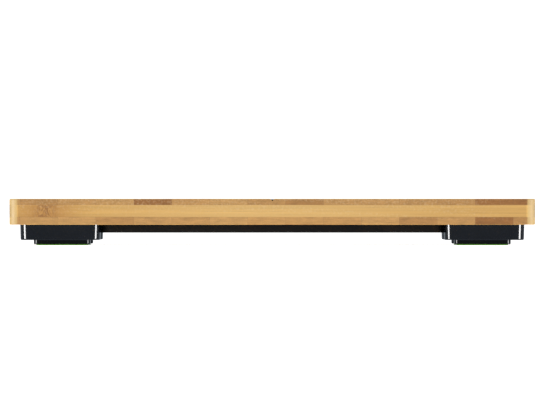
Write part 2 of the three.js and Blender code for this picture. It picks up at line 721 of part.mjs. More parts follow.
function footAssembly(corner) {
  const group = new THREE.Group();
  group.position.set(corner.sx * footX, corner.sy * footY, 0);
  const inboard = [-corner.sx * shoe.inboard, 0, 0];
  const padShape = roundedRect(pad.side, pad.side, pad.corner);
  const seat = housingBottom + housingScrew.sunk + housingScrew.headThick;
  addPiece(group, `foot_housing_${corner.name}`, footHousing(corner), glossBlack);
  addPiece(group, `cell_carrier_${corner.name}`, cellCarrier(corner), satinBlack);
  addPiece(group, `load_cell_${corner.name}`, loadCell(corner), steel);
  addPiece(group, `foot_shoe_${corner.name}`, footShoe(), glossBlack, inboard);
  addPiece(group, `foot_pad_${corner.name}`, prism(padShape, 0, pad.thickness), greenRubber, inboard);
  housingScrewOffsets(corner).forEach(([x, y], i) => {
    const length = underside - seat + housingScrew.bite;
    const name = `housing_screw_${corner.name}_${i + 1}`;
    addPiece(group, name, screw(housingScrew, length), zinc, [x, y, seat]);
  });
  return group;
}

function cellLeads() {
  const group = new THREE.Group();
  corners.forEach((corner) => {
    const steps = corner.sy < 0 ? 18 : 40;
    const geometry = lead(cellLeadRoute(corner), cellLead.radius, steps);
    addPiece(group, `cell_lead_${corner.name}`, geometry, leadSleeve);
  });
  return group;
}

addPiece(scale, "bamboo_platform", platform(), bamboo);
scale.add(controlPanel(), baseAndBattery(), cellLeads(), ...corners.map(footAssembly));

export default scale;
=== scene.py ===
"""A slim kitchen scale: a laminated bamboo platform on four load-cell feet.

Each sub-assembly is a class that holds its sizes in millimetres, shapes its own pieces with modelling
operators and dresses them with procedural finishes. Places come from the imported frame.
"""
import logging
import math
from collections.abc import Callable, Iterator
from contextlib import contextmanager
from dataclasses import dataclass
from enum import Enum
from functools import cache

import bmesh
import bpy
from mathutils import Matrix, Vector


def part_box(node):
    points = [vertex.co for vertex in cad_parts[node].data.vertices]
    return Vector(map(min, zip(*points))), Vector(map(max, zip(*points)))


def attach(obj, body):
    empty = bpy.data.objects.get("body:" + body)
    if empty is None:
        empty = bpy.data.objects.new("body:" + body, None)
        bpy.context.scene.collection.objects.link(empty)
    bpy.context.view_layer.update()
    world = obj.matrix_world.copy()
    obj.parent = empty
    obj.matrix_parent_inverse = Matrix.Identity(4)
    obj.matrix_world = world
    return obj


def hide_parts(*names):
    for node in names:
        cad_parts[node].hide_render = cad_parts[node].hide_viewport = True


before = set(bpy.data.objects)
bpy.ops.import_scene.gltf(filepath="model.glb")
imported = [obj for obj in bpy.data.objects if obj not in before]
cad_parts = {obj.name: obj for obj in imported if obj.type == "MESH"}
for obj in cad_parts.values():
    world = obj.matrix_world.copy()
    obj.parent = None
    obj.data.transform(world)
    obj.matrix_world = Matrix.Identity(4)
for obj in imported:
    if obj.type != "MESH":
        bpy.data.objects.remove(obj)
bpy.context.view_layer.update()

MM = 0.001
LOG = logging.getLogger("kitchen_scale")
Point = tuple[float, float, float]
Profile = list[tuple[float, float]]
Socket = bpy.types.NodeSocket
EdgeRule = Callable[[Vector, Vector], bool]
FaceRule = Callable[[Vector, Vector], bool]


class Body(str, Enum):
    """The rigid bodies that pieces ride on."""

    FRAME = "frame"
    TARE = "button_tare_body"
    UNIT = "button_unit_body"
    DOOR = "battery_door_body"


class Corner(Enum):
    """The four corners, each as its name and the signs of its X and Y."""

    FRONT_LEFT = ("front_left", -1, -1)
    FRONT_RIGHT = ("front_right", 1, -1)
    REAR_LEFT = ("rear_left", -1, 1)
    REAR_RIGHT = ("rear_right", 1, 1)

    @property
    def label(self) -> str:
        """The corner's name as the frame spells it."""
        return self.value[0]

    @property
    def signs(self) -> tuple[int, int]:
        """The signs of the corner's X and Y."""
        return self.value[1], self.value[2]

    @property
    def body(self) -> str:
        """The body that the corner's foot rides on."""
        return f"foot_{self.label}_body"


# ---------------------------------------------------------------- shaping tools


@dataclass(frozen=True)
class Box:
    """A node's box in millimetres."""

    low: Vector
    high: Vector

    @classmethod
    def of(cls, node: str) -> "Box":
        """Reads a node's box from the frame."""
        low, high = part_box(node)
        return cls(Vector(low) / MM, Vector(high) / MM)

    @property
    def centre(self) -> Vector:
        """The middle of the box."""
        return (self.low + self.high) / 2

    @property
    def size(self) -> Vector:
        """The box's length along each axis."""
        return self.high - self.low

    def grown(self, gap: float, bottom: float, top: float) -> tuple[Point, Point]:
        """Widens the box's outline and sets its heights.

        Args:
            gap: How far each side moves out, in mm.
            bottom: The lower height, in mm.
            top: The upper height, in mm.

        Returns:
            The lowest and the highest corner.
        """
        low = (self.low.x - gap, self.low.y - gap, bottom)
        return low, (self.high.x + gap, self.high.y + gap, top)


def clear_selection() -> None:
    """Leaves edit mode and deselects every object."""
    active = bpy.context.view_layer.objects.active
    if active and active.mode != "OBJECT":
        bpy.ops.object.mode_set(mode="OBJECT")
    bpy.ops.object.select_all(action="DESELECT")


class Workpiece:
    """One mesh on the bench, shaped in millimetres by edit-mode operators."""

    def __init__(self, piece: bpy.types.Object) -> None:
        """Takes a mesh object whose place is in its mesh.

        Args:
            piece: The object to shape.
        """
        self.piece = piece

    @classmethod
    def _fresh(cls, name: str) -> "Workpiece":
        """Names the primitive that was just added and puts its place into its mesh.

        Args:
            name: The piece's name.

        Returns:
            The new workpiece.
        """
        piece = bpy.context.view_layer.objects.active
        piece.name = name
        piece.data.name = name
        bpy.ops.object.transform_apply(location=True, rotation=True, scale=True)
        return cls(piece)

    @classmethod
    def block(cls, name: str, low: Point, high: Point) -> "Workpiece":
        """Adds a cube primitive between two corners.

        Args:
            name: The piece's name.
            low: The lowest corner, in mm.
            high: The highest corner, in mm.

        Returns:
            The new workpiece.
        """
        clear_selection()
        a, b = Vector(low) * MM, Vector(high) * MM
        bpy.ops.mesh.primitive_cube_add(size=1, location=(a + b) / 2, scale=b - a)
        return cls._fresh(name)

    @classmethod
    def rod(cls, name: str, radius: float, foot: Point, height: float, sides: int = 48) -> "Workpiece":
        """Adds an upright cylinder primitive.

        Args:
            name: The piece's name.
            radius: Its radius, in mm.
            foot: The centre of its lower end, in mm.
            height: Its height, in mm.
            sides: How many sides it has.

        Returns:
            The new workpiece.
        """
        clear_selection()
        middle = Vector(foot) * MM + Vector((0, 0, height / 2 * MM))
        bpy.ops.mesh.primitive_cylinder_add(
            vertices=sides, radius=radius * MM, depth=height * MM, location=middle
        )
        return cls._fresh(name)

    @classmethod
    def turned(cls, name: str, profile: Profile, axis: Point, sides: int = 48) -> "Workpiece":
        """Raises a turned piece ring by ring from a circle primitive.

        Args:
            name: The piece's name.
            profile: Radius and height of each ring, in mm, from the lower end to the upper.
            axis: The point that the heights are measured from, in mm.
            sides: How many sides it has.

        Returns:
            The new workpiece.
        """
        clear_selection()
        x, y, z = axis
        radius, height = profile[0]
        bpy.ops.mesh.primitive_circle_add(
            vertices=sides, radius=radius * MM, fill_type="NGON", location=(x * MM, y * MM, (z + height) * MM)
        )
        work = cls._fresh(name)
        with work.editing():
            bpy.ops.mesh.select_all(action="SELECT")
            for (r0, h0), (r1, h1) in zip(profile, profile[1:]):
                bpy.ops.mesh.extrude_region_move(TRANSFORM_OT_translate={"value": (0, 0, (h1 - h0) * MM)})
                if abs(r1 - r0) > 1e-6:
                    bpy.ops.transform.resize(
                        value=(r1 / r0, r1 / r0, 1), center_override=(x * MM, y * MM, (z + h1) * MM)
                    )
        return work.outward()

    @classmethod
    def copied(cls, name: str, node: str) -> "Workpiece":
        """Copies a frame node's mesh and merges its loose triangles into flat faces.

        Args:
            name: The copy's name.
            node: The node to copy.

        Returns:
            The new workpiece.
        """
        clear_selection()
        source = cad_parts[node]
        piece = bpy.data.objects.new(name, source.data.copy())
        bpy.context.scene.collection.objects.link(piece)
        bpy.context.view_layer.objects.active = piece
        piece.select_set(True)
        work = cls(piece)
        with work.editing():
            bpy.ops.mesh.select_all(action="SELECT")
            bpy.ops.mesh.customdata_custom_splitnormals_clear()
            bpy.ops.mesh.remove_doubles(threshold=0.002 * MM)
            bpy.ops.mesh.dissolve_limited(angle_limit=math.radians(1))
        return work

    def activate(self) -> None:
        """Makes this the only selected object."""
        clear_selection()
        self.piece.select_set(True)
        bpy.context.view_layer.objects.active = self.piece

    @contextmanager
    def editing(self) -> Iterator[None]:
        """Holds the piece in edit mode.

        Returns:
            A context in which operators act on the mesh.
        """
        self.activate()
        bpy.ops.object.mode_set(mode="EDIT")
        try:
            yield
        finally:
            bpy.ops.object.mode_set(mode="OBJECT")

    def _pick(self, edges: EdgeRule | None, faces: FaceRule | None) -> int:
        """Selects the edges or faces that a rule accepts, and counts them.

        Args:
            edges: The rule for edges, or None.
            faces: The rule for faces, or None.

        Returns:
            How many were selected.
        """
        bpy.context.tool_settings.mesh_select_mode = (False, faces is None, faces is not None)
        bpy.ops.mesh.select_all(action="DESELECT")
        cage = bmesh.from_edit_mesh(self.piece.data)
        chosen = []
        if faces:
            chosen = [f for f in cage.faces if faces(f.calc_center_median() / MM, f.normal)]
        elif edges:
            chosen = [e for e in cage.edges if edges(e.verts[0].co / MM, e.verts[1].co / MM)]
        for item in chosen:
            item.select_set(True)
        cage.select_flush_mode()
        bmesh.update_edit_mesh(self.piece.data)
        return len(chosen)

    def bevel(self, rule: EdgeRule, width: float, segments: int = 3) -> "Workpiece":
        """Rounds the chosen edges.

        Args:
            rule: Says whether the edge between two points, in mm, is rounded.
            width: The rounding's radius, in mm.
            segments: How many facets it gets.

        Returns:
            This workpiece.
        """
        with self.editing():
            if self._pick(rule, None):
                bpy.ops.mesh.bevel(offset=width * MM, segments=segments, affect="EDGES", clamp_overlap=False)
        return self

    def inset_push(self, rule: FaceRule, inset: float, push: float) -> "Workpiece":
        """Insets the chosen faces and moves what is inside along its normal.

        Args:
            rule: Says whether the face with this centre, in mm, and normal is chosen.
            inset: The inset's width, in mm.
            push: How far the inner faces move outwards, in mm.

        Returns:
            This workpiece.
        """
        with self.editing():
            if self._pick(None, rule):
                bpy.ops.mesh.inset(thickness=inset * MM, depth=push * MM)
        return self

    def resize_faces(self, rule: FaceRule, scale: Point, centre: Point) -> "Workpiece":
        """Scales the chosen faces about a point, and merges what meets.

        Args:
            rule: Says whether the face with this centre, in mm, and normal is chosen.
            scale: The factor along each axis.
            centre: The fixed point, in mm.

        Returns:
            This workpiece.
        """
        with self.editing():
            self._pick(None, rule)
            bpy.ops.transform.resize(value=scale, center_override=Vector(centre) * MM)
            bpy.ops.mesh.select_all(action="SELECT")
            bpy.ops.mesh.remove_doubles(threshold=0.001 * MM)
        return self

    def _combine(self, tool: "Workpiece", operation: str) -> None:
        """Applies one Boolean modifier and throws the tool away.

        Args:
            tool: The other workpiece.
            operation: The modifier's operation.
        """
        modifier = self.piece.modifiers.new("combine", "BOOLEAN")
        modifier.operation = operation
        modifier.solver = "EXACT"
        modifier.object = tool.piece
        self.activate()
        bpy.ops.object.modifier_apply(modifier=modifier.name)
        mesh = tool.piece.data
        bpy.data.objects.remove(tool.piece)
        bpy.data.meshes.remove(mesh)

    def cut(self, *tools: "Workpiece") -> "Workpiece":
        """Cuts the tools' shapes away.

        Args:
            tools: What is cut away.

        Returns:
            This workpiece.
        """
        for tool in tools:
            self._combine(tool, "DIFFERENCE")
        return self

    def keep(self, room: "Workpiece") -> "Workpiece":
        """Keeps only what lies inside another workpiece."""
        self._combine(room, "INTERSECT")
        return self

    def weld(self, *others: "Workpiece") -> "Workpiece":
        """Joins other workpieces into this one.

        Args:
            others: What is joined.

        Returns:
            This workpiece.
        """
        for other in others:
            self._combine(other, "UNION")
        return self

    def shift(self, offset: Point) -> "Workpiece":
        """Moves the mesh by an offset in mm.

        Args:
            offset: The offset.

        Returns:
            This workpiece.
        """
        with self.editing():
            bpy.ops.mesh.select_all(action="SELECT")
            bpy.ops.transform.translate(value=Vector(offset) * MM)
        return self

    def turn(self, degrees: float, centre: Point) -> "Workpiece":
        """Turns the mesh about an upright axis through a point in mm.

        Args:
            degrees: The angle.
            centre: The point.

        Returns:
            This workpiece.
        """
        with self.editing():
            bpy.ops.mesh.select_all(action="SELECT")
            bpy.ops.transform.rotate(
                value=math.radians(degrees), orient_axis="Z", center_override=Vector(centre) * MM
            )
        return self

    def mirror(self, signs: tuple[int, int], centre: Point) -> "Workpiece":
        """Mirrors the mesh in X, in Y or in both, and points its faces outwards again.

        Args:
            signs: -1 for each of X and Y that is mirrored, otherwise 1.
            centre: The fixed point, in mm.

        Returns:
            This workpiece.
        """
        with self.editing():
            bpy.ops.mesh.select_all(action="SELECT")
            bpy.ops.transform.resize(value=(*signs, 1), center_override=Vector(centre) * MM)
        return self.outward()

    def named(self, name: str) -> "Workpiece":
        """Renames the piece and its mesh.

        Args:
            name: The new name.

        Returns:
            This workpiece.
        """
        self.piece.name = name
        self.piece.data.name = name
        return self

    def twin(self, name: str) -> "Workpiece":
        """Copies the piece with a mesh of its own.

        Args:
            name: The copy's name.

        Returns:
            The copy.
        """
        piece = self.piece.copy()
        piece.data = self.piece.data.copy()
        piece.name = name
        piece.data.name = name
        bpy.context.scene.collection.objects.link(piece)
        return Workpiece(piece)

    def outward(self) -> "Workpiece":
        """Merges doubles and points every face outwards.

        Returns:
            This workpiece.
        """
        with self.editing():
            bpy.ops.mesh.select_all(action="SELECT")
            bpy.ops.mesh.remove_doubles(threshold=0.0005 * MM)
            bpy.ops.mesh.normals_make_consistent(inside=False)
        return self

    def soften(self, width: float, segments: int = 2, angle: float = 40) -> "Workpiece":
        """Rounds every edge sharper than an angle with a bevel modifier.

        Args:
            width: The rounding's width, in mm.
            segments: How many facets it gets.
            angle: The smallest angle between faces that is rounded, in degrees.

        Returns:
            This workpiece.
        """
        modifier = self.piece.modifiers.new("soften", "BEVEL")
        modifier.width = width * MM
        modifier.segments = segments
        modifier.limit_method = "ANGLE"
        modifier.angle_limit = math.radians(angle)
        modifier.use_clamp_overlap = True
        self.activate()
        bpy.ops.object.modifier_apply(modifier=modifier.name)
        return self

    def smooth(self, angle: float = 35) -> "Workpiece":
        """Shades smoothly below an angle, with normals weighted by face area.

        Args:
            angle: The angle, in degrees.

        Returns:
            This workpiece.
        """
        self.activate()
        bpy.ops.object.shade_smooth_by_angle(angle=math.radians(angle))
        modifier = self.piece.modifiers.new("normals", "WEIGHTED_NORMAL")
        modifier.keep_sharp = True
        bpy.ops.object.modifier_apply(modifier=modifier.name)
        return self

    def dress(self, finish: "Finish", body: str, *nodes: str) -> "Workpiece":
        """Gives the piece its finish, its body and the nodes that it stands for.

        Args:
            finish: The finish.
            body: The body that it rides on.
            nodes: The frame's nodes that it replaces.

        Returns:
            This workpiece.
        """
        self.piece.data.materials.clear()
        self.piece.data.materials.append(finish.material())
        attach(self.piece, body)
        if nodes:
            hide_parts(*nodes)
        LOG.info("%s: %d faces", self.piece.name, len(self.piece.data.polygons))
        return self


def rounded_block(name: str, low: Point, high: Point, corner: float, segments: int = 8) -> Workpiece:
    """Makes a block with rounded upright edges.

    Args:
        name: The piece's name.
        low: The lowest corner, in mm.
        high: The highest corner, in mm.
        corner: The radius of the upright edges, in mm.
        segments: How many facets each gets.

    Returns:
        The workpiece.
    """
    work = Workpiece.block(name, low, high)
    return work.bevel(upright, corner, segments)


def upright(a: Vector, b: Vector) -> bool:
    """Accepts an edge that runs along Z."""
    return abs(a.x - b.x) < 1e-4 and abs(a.y - b.y) < 1e-4


def rim_at(level: float) -> EdgeRule:
    """Makes a rule for level edges at one height, in mm."""
    return lambda a, b: abs(a.z - level) < 1e-3 and abs(b.z - level) < 1e-3


def rim_near(level: float, centre: Vector, radius: float) -> EdgeRule:
    """Makes a rule for level edges at one height within a radius of a point, in mm.

    Args:
        level: The height.
        centre: The point.
        radius: The radius.

    Returns:
        The rule.
    """
    at_level = rim_at(level)

    def rule(a: Vector, b: Vector) -> bool:
        """Accepts an edge of that rim."""
        near = all(math.hypot(p.x - centre.x, p.y - centre.y) < radius for p in (a, b))
        return near and at_level(a, b)

    return rule


# ---------------------------------------------------------------- shader tools


class Graph:
    """Adds nodes to a shader tree and links them."""

    def __init__(self, tree: bpy.types.NodeTree) -> None:
        """Takes the tree to fill."""
        self.tree = tree

    def node(self, kind: str, inputs: dict | None = None, **settings: object) -> bpy.types.Node:
        """Adds a node.

        Args:
            kind: The node's type.
            inputs: Values or sockets for its inputs, by name or number.
            settings: Values for its own properties.

        Returns:
            The node.
        """
        node = self.tree.nodes.new(kind)
        for name, value in settings.items():
            setattr(node, name, value)
        for key, value in (inputs or {}).items():
            if isinstance(value, Socket):
                self.tree.links.new(value, node.inputs[key])
            else:
                node.inputs[key].default_value = value
        return node

    def group(self, tree: bpy.types.NodeTree, **inputs: object) -> "bpy.types.bpy_prop_collection":
        """Places a node group and returns its outputs."""
        return self.node("ShaderNodeGroup", inputs, node_tree=tree).outputs

    def math(self, operation: str, a: object, b: object = 0.0, clamp: bool = False) -> Socket:
        """Adds a Math node and returns its value."""
        return self.node("ShaderNodeMath", {0: a, 1: b}, operation=operation, use_clamp=clamp).outputs[0]

    def plus(self, a: object, b: object, clamp: bool = False) -> Socket:
        """Adds two values."""
        return self.math("ADD", a, b, clamp)

    def minus(self, a: object, b: object) -> Socket:
        """Takes the second value from the first."""
        return self.math("SUBTRACT", a, b)

    def times(self, a: object, b: object) -> Socket:
        """Multiplies two values."""
        return self.math("MULTIPLY", a, b)

    def unsigned(self, a: object) -> Socket:
        """Drops a value's sign."""
        return self.math("ABSOLUTE", a)

    def vector(self, operation: str, a: object, b: object = (0, 0, 0)) -> Socket:
        """Adds a Vector Math node and returns its vector."""
        return self.node("ShaderNodeVectorMath", {0: a, 1: b}, operation=operation).outputs[0]

    def combine(self, x: object, y: object, z: object) -> Socket:
        """Joins three values into a vector."""
        return self.node("ShaderNodeCombineXYZ", {0: x, 1: y, 2: z}).outputs[0]

    def blend(self, factor: object, a: object, b: object, mode: str = "MIX") -> Socket:
        """Mixes two colours and returns the result."""
        node = self.node("ShaderNodeMix", {0: factor, 6: a, 7: b}, data_type="RGBA", blend_type=mode)
        return node.outputs[2]

    def span(self, value: object, low: float, high: float, to_low: float, to_high: float) -> Socket:
        """Maps a value from one range smoothly onto another, clamped.

        Args:
            value: The value.
            low: The first range's start.
            high: The first range's end.
            to_low: What the start becomes.
            to_high: What the end becomes.

        Returns:
            The mapped value.
        """
        node = self.node(
            "ShaderNodeMapRange",
            {0: value, 1: low, 2: high, 3: to_low, 4: to_high},
            interpolation_type="SMOOTHSTEP",
        )
        return node.outputs[0]

    def noise(self, vector: object, scale: float, detail: float = 3.0, warp: float = 0.0) -> Socket:
        """Adds a noise texture and returns its value."""
        inputs = {"Vector": vector, "Scale": scale, "Detail": detail, "Distortion": warp}
        return self.node("ShaderNodeTexNoise", inputs).outputs[0]

    def place(self) -> Socket:
        """Returns the object's own coordinates in millimetres."""
        coords = self.node("ShaderNodeTexCoord").outputs["Object"]
        return self.vector("MULTIPLY", coords, (1 / MM, 1 / MM, 1 / MM))

    def bump(self, height: object, depth: float, strength: float = 1.0) -> Socket:
        """Turns a height into a normal; the depth of a full step is in mm."""
        node = self.node("ShaderNodeBump", {"Height": height, "Strength": strength, "Distance": depth * MM})
        return node.outputs[0]


def node_group(
    name: str, inputs: dict[str, object], outputs: dict[str, str]
) -> tuple[bpy.types.NodeTree, Graph]:
    """Makes an empty node group with named sockets.

    Args:
        name: The group's name.
        inputs: Each input's name and default: a number, a colour of four or a vector of three.
        outputs: Each output's name and socket type.

    Returns:
        The group and a graph that fills it.
    """
    tree = bpy.data.node_groups.new(name, "ShaderNodeTree")
    for label, default in inputs.items():
        if isinstance(default, (int, float)):
            kind = "NodeSocketFloat"
        else:
            kind = "NodeSocketColor" if len(default) == 4 else "NodeSocketVector"
        socket = tree.interface.new_socket(name=label, in_out="INPUT", socket_type=kind)
        socket.default_value = default
    for label, kind in outputs.items():
        tree.interface.new_socket(name=label, in_out="OUTPUT", socket_type=kind)
    return tree, Graph(tree)


class Effects:
    """Shader effects that several finishes share, each built once."""

    @staticmethod
    @cache
    def handling() -> bpy.types.NodeTree:
        """Smudges, fine scratches and settled dust.

        Returns:
            A group with Vector, Smudge and Scratch inputs and Haze, Dust and Height outputs.
        """
        tree, g = node_group(
            "handling",
            {"Vector": (0.0, 0.0, 0.0), "Smudge": 0.5, "Scratch": 0.3},
            {"Haze": "NodeSocketFloat", "Dust": "NodeSocketFloat", "Height": "NodeSocketFloat"},
        )
        given = g.node("NodeGroupInput").outputs
        broad = g.span(g.noise(given["Vector"], 0.06, 4.0, 0.6), 0.42, 0.68, 0.0, 1.0)
        streak = g.vector("MULTIPLY", given["Vector"], (0.2, 2.6, 2.6))
        lines = g.span(g.noise(streak, 1.2, 2.0), 0.62, 0.72, 0.0, 1.0)
        scratch = g.times(lines, given["Scratch"])
        haze = g.plus(g.times(broad, given["Smudge"]), g.times(scratch, 0.4))
        specks = g.span(g.noise(given["Vector"], 1.9, 1.0), 0.68, 0.76, 0.0, 1.0)
        grains = g.noise(given["Vector"], 3.0, 2.0)
        g.node(
            "NodeGroupOutput",
            {"Haze": haze, "Dust": g.times(specks, broad), "Height": g.minus(grains, scratch)},
        )
        return tree

    @staticmethod
    @cache
    def edge_wear() -> bpy.types.NodeTree:
        """A mask that is bright on worn, outward edges.

        Returns:
            A group with Vector, Amount and Ragged inputs and a Mask output.
        """
        tree, g = node_group(
            "edge_wear",
            {"Vector": (0.0, 0.0, 0.0), "Amount": 0.5, "Ragged": 1.0},
            {"Mask": "NodeSocketFloat"},
        )
        given = g.node("NodeGroupInput").outputs
        sharp = g.span(g.node("ShaderNodeNewGeometry").outputs["Pointiness"], 0.53, 0.62, 0.0, 1.0)
        ragged = g.times(g.noise(given["Vector"], 0.9, 4.0), given["Ragged"])
        patchy = g.span(ragged, 0.45, 0.7, 0.0, 1.0)
        mask = g.times(g.times(sharp, patchy), given["Amount"])
        g.node("NodeGroupOutput", {"Mask": mask})
        return tree

    @staticmethod
    @cache
    def moulded() -> bpy.types.NodeTree:
        """The fine skin of a moulding: grain, flow marks and a slight waviness.

        Returns:
            A group with Vector and Grain inputs and Height and Tone outputs.
        """
        tree, g = node_group(
            "moulded",
            {"Vector": (0.0, 0.0, 0.0), "Grain": 1.0},
            {"Height": "NodeSocketFloat", "Tone": "NodeSocketFloat"},
        )
        given = g.node("NodeGroupInput").outputs
        grain = g.times(g.noise(given["Vector"], 2.4, 3.0), given["Grain"])
        waves = g.noise(given["Vector"], 0.12, 2.0, 0.8)
        height = g.plus(grain, g.times(waves, 0.6))
        g.node("NodeGroupOutput", {"Height": height, "Tone": g.span(waves, 0.3, 0.7, 0.0, 1.0)})
        return tree

    @staticmethod
    @cache
    def bamboo_ply() -> bpy.types.NodeTree:
        """One ply of glued bamboo strips as a solid pattern.

        Returns:
            A group whose inputs give the place along, across and through the strips, the strips' width
            and seed, the knuckles' place and how far the face cuts across the fibres. It puts out Color,
            Height and Gloss.
        """
        tree, g = node_group(
            "bamboo_ply",
            {
                "Along": 0.0,
                "Across": 0.0,
                "Through": 0.0,
                "Width": 17.9,
                "Shift": 0.0,
                "Seed": 0.0,
                "Knuckle": 0.0,
                "Spread": 1.0,
                "Cut": 0.0,
            },
            {"Color": "NodeSocketColor", "Height": "NodeSocketFloat", "Gloss": "NodeSocketFloat"},
        )
        given = g.node("NodeGroupInput").outputs
        along, across, through = given["Along"], given["Across"], given["Through"]
        place = g.math("DIVIDE", g.plus(across, given["Shift"]), given["Width"])
        strip = g.math("FLOOR", place)
        inside = g.minus(place, strip)
        dice = g.node(
            "ShaderNodeTexWhiteNoise", {"W": g.plus(strip, given["Seed"])}, noise_dimensions="1D"
        ).outputs
        rolls = g.node("ShaderNodeSeparateColor", {0: dice["Color"]}).outputs
        dark = g.math("LESS_THAN", dice["Value"], 0.2)
        tone = g.node("ShaderNodeMapRange", {0: dice["Value"], 1: 0.2, 2: 1.0, 3: 0.42, 4: 1.0}).outputs[0]
        tone = g.times(tone, g.minus(1.0, g.times(dark, 0.67)))
        end_grain = g.blend(tone, (0.265, 0.098, 0.018, 1), (0.520, 0.288, 0.092, 1))
        long_grain = g.blend(tone, (0.640, 0.350, 0.092, 1), (0.850, 0.515, 0.140, 1))
        color = g.blend(given["Cut"], long_grain, end_grain)
        own = g.plus(along, g.times(rolls[1], 900.0))
        fibre_place = g.combine(across, through, g.times(own, 0.012))
        layers = g.noise(g.vector("MULTIPLY", fibre_place, (0.10, 1.0, 0.5)), 1.5, 3.0)
        fibres = g.blend(0.5, g.noise(fibre_place, 1.9, 5.0), layers)
        bands = g.noise(g.vector("MULTIPLY", fibre_place, (0.22, 0.5, 0.6)), 1.0, 2.0)
        shade = g.plus(g.times(fibres, 0.86), g.times(bands, 0.46))
        color = g.blend(1.0, color, g.combine(*[g.plus(shade, 0.355)] * 3), "MULTIPLY")
        pore_place = g.combine(across, through, g.times(own, 0.03))
        cells = g.node("ShaderNodeTexVoronoi", {"Vector": pore_place, "Scale": 1.7}).outputs["Distance"]
        pores = g.span(cells, 0.08, 0.30, 1.0, 0.0)
        color = g.blend(g.times(pores, 0.22), color, (0.32, 0.150, 0.050, 1))
        period = 260.0
        jitter = g.times(g.minus(rolls[2], 0.5), given["Spread"])
        from_knuckle = g.minus(g.minus(along, given["Knuckle"]), jitter)
        cycle = g.math("FRACT", g.plus(g.math("DIVIDE", from_knuckle, period), 100.5))
        reach = g.times(g.unsigned(g.minus(cycle, 0.5)), period)
        swirl_place = g.combine(g.times(across, 0.30), g.times(through, 0.55), along)
        swirl = g.noise(swirl_place, 0.42, 3.0, 2.2)
        wander = g.plus(reach, g.times(g.minus(swirl, 0.5), 6.0))
        glow = g.span(wander, 2.0, 24.0, 1.0, 0.0)
        mark = g.times(g.span(wander, 1.5, 8.0, 1.0, 0.0), g.span(swirl, 0.44, 0.56, 0.0, 1.0))
        sawn = g.minus(1.0, g.times(given["Cut"], 0.85))
        glow, mark = g.times(glow, sawn), g.times(mark, sawn)
        color = g.blend(g.times(glow, 0.62), color, (0.530, 0.225, 0.040, 1))
        color = g.blend(g.times(mark, 0.6), color, (0.240, 0.080, 0.016, 1))
        to_joint = g.times(g.math("MINIMUM", inside, g.minus(1.0, inside)), given["Width"])
        joint = g.span(to_joint, 0.02, 0.16, 1.0, 0.0)
        color = g.blend(g.times(joint, 0.30), color, (0.230, 0.110, 0.045, 1))
        height = g.minus(g.times(fibres, 0.8), g.times(pores, 0.35))
        height = g.minus(height, g.times(joint, 0.7))
        g.node("NodeGroupOutput", {"Color": color, "Height": height, "Gloss": bands})
        return tree


# ---------------------------------------------------------------- finishes


MADE: dict[str, bpy.types.Material] = {}


@dataclass(frozen=True)
class Finish:
    """A procedural finish, tied to one of the record's material slots."""

    name: str
    slot: str

    def material(self) -> bpy.types.Material:
        """Builds the material once; the frame's own plain materials are never reused.

        Returns:
            The material.
        """
        if self.name in MADE:
            return MADE[self.name]
        if self.name in bpy.data.materials:
            raise ValueError(f"the frame already has a material named {self.name}")
        made = bpy.data.materials.new(self.name)
        MADE[self.name] = made
        made.use_nodes = True
        made.node_tree.nodes.clear()
        graph = Graph(made.node_tree)
        shader = graph.node("ShaderNodeBsdfPrincipled")
        graph.node("ShaderNodeOutputMaterial", {"Surface": shader.outputs[0]})
        self.shade(graph, shader)
        return made

    def shade(self, g: Graph, shader: bpy.types.Node) -> None:
        """Feeds the shader; each finish has its own way.

        Args:
            g: The material's graph.
            shader: The Principled BSDF.
        """
        raise NotImplementedError

    @staticmethod
    def feed(g: Graph, shader: bpy.types.Node, **values: object) -> None:
        """Links or sets the shader's inputs; underscores stand for spaces.

        Args:
            g: The material's graph.
            shader: The Principled BSDF.
            values: A socket or a value for each input.
        """
        for key, value in values.items():
            socket = shader.inputs[key.replace("_", " ")]
            if isinstance(value, Socket):
                g.tree.links.new(value, socket)
            else:
                socket.default_value = value


@dataclass(frozen=True)
class Plastic(Finish):
    """Moulded plastic, from high gloss to a fine matte skin."""

    color: tuple[float, float, float] = (0.01, 0.01, 0.012)
    roughness: float = 0.3
    grain: float = 0.2
    grain_depth: float = 0.01
    smudge: float = 0.4
    reflectance: float = 0.4
    coat: float = 0.0

    def shade(self, g: Graph, shader: bpy.types.Node) -> None:
        """Adds grain, smudges, dust and rubbed edges to the plain colour.

        Args:
            g: The material's graph.
            shader: The Principled BSDF.
        """
        place = g.place()
        skin = g.group(Effects.moulded(), Vector=place, Grain=self.grain)
        used = g.group(Effects.handling(), Vector=place, Smudge=self.smudge, Scratch=self.smudge * 0.5)
        wear = g.group(Effects.edge_wear(), Vector=place, Amount=0.35)
        base = (*self.color, 1)
        lighter = (*(min(1.0, c * 1.5 + 0.004) for c in self.color), 1)
        dusty = (*(min(1.0, c * 0.9 + 0.03) for c in self.color), 1)
        color = g.blend(g.times(skin["Tone"], 0.25), base, lighter)
        color = g.blend(g.times(used["Dust"], 0.25), color, dusty)
        color = g.blend(wear["Mask"], color, dusty)
        rough = g.plus(g.times(used["Haze"], 0.12), self.roughness, clamp=True)
        rough = g.plus(g.times(wear["Mask"], 0.2), rough, clamp=True)
        height = g.plus(skin["Height"], g.times(used["Height"], 0.15))
        self.feed(
            g,
            shader,
            Base_Color=color,
            Roughness=rough,
            Normal=g.bump(height, self.grain_depth),
            Specular_IOR_Level=self.reflectance,
            Coat_Weight=self.coat,
        )


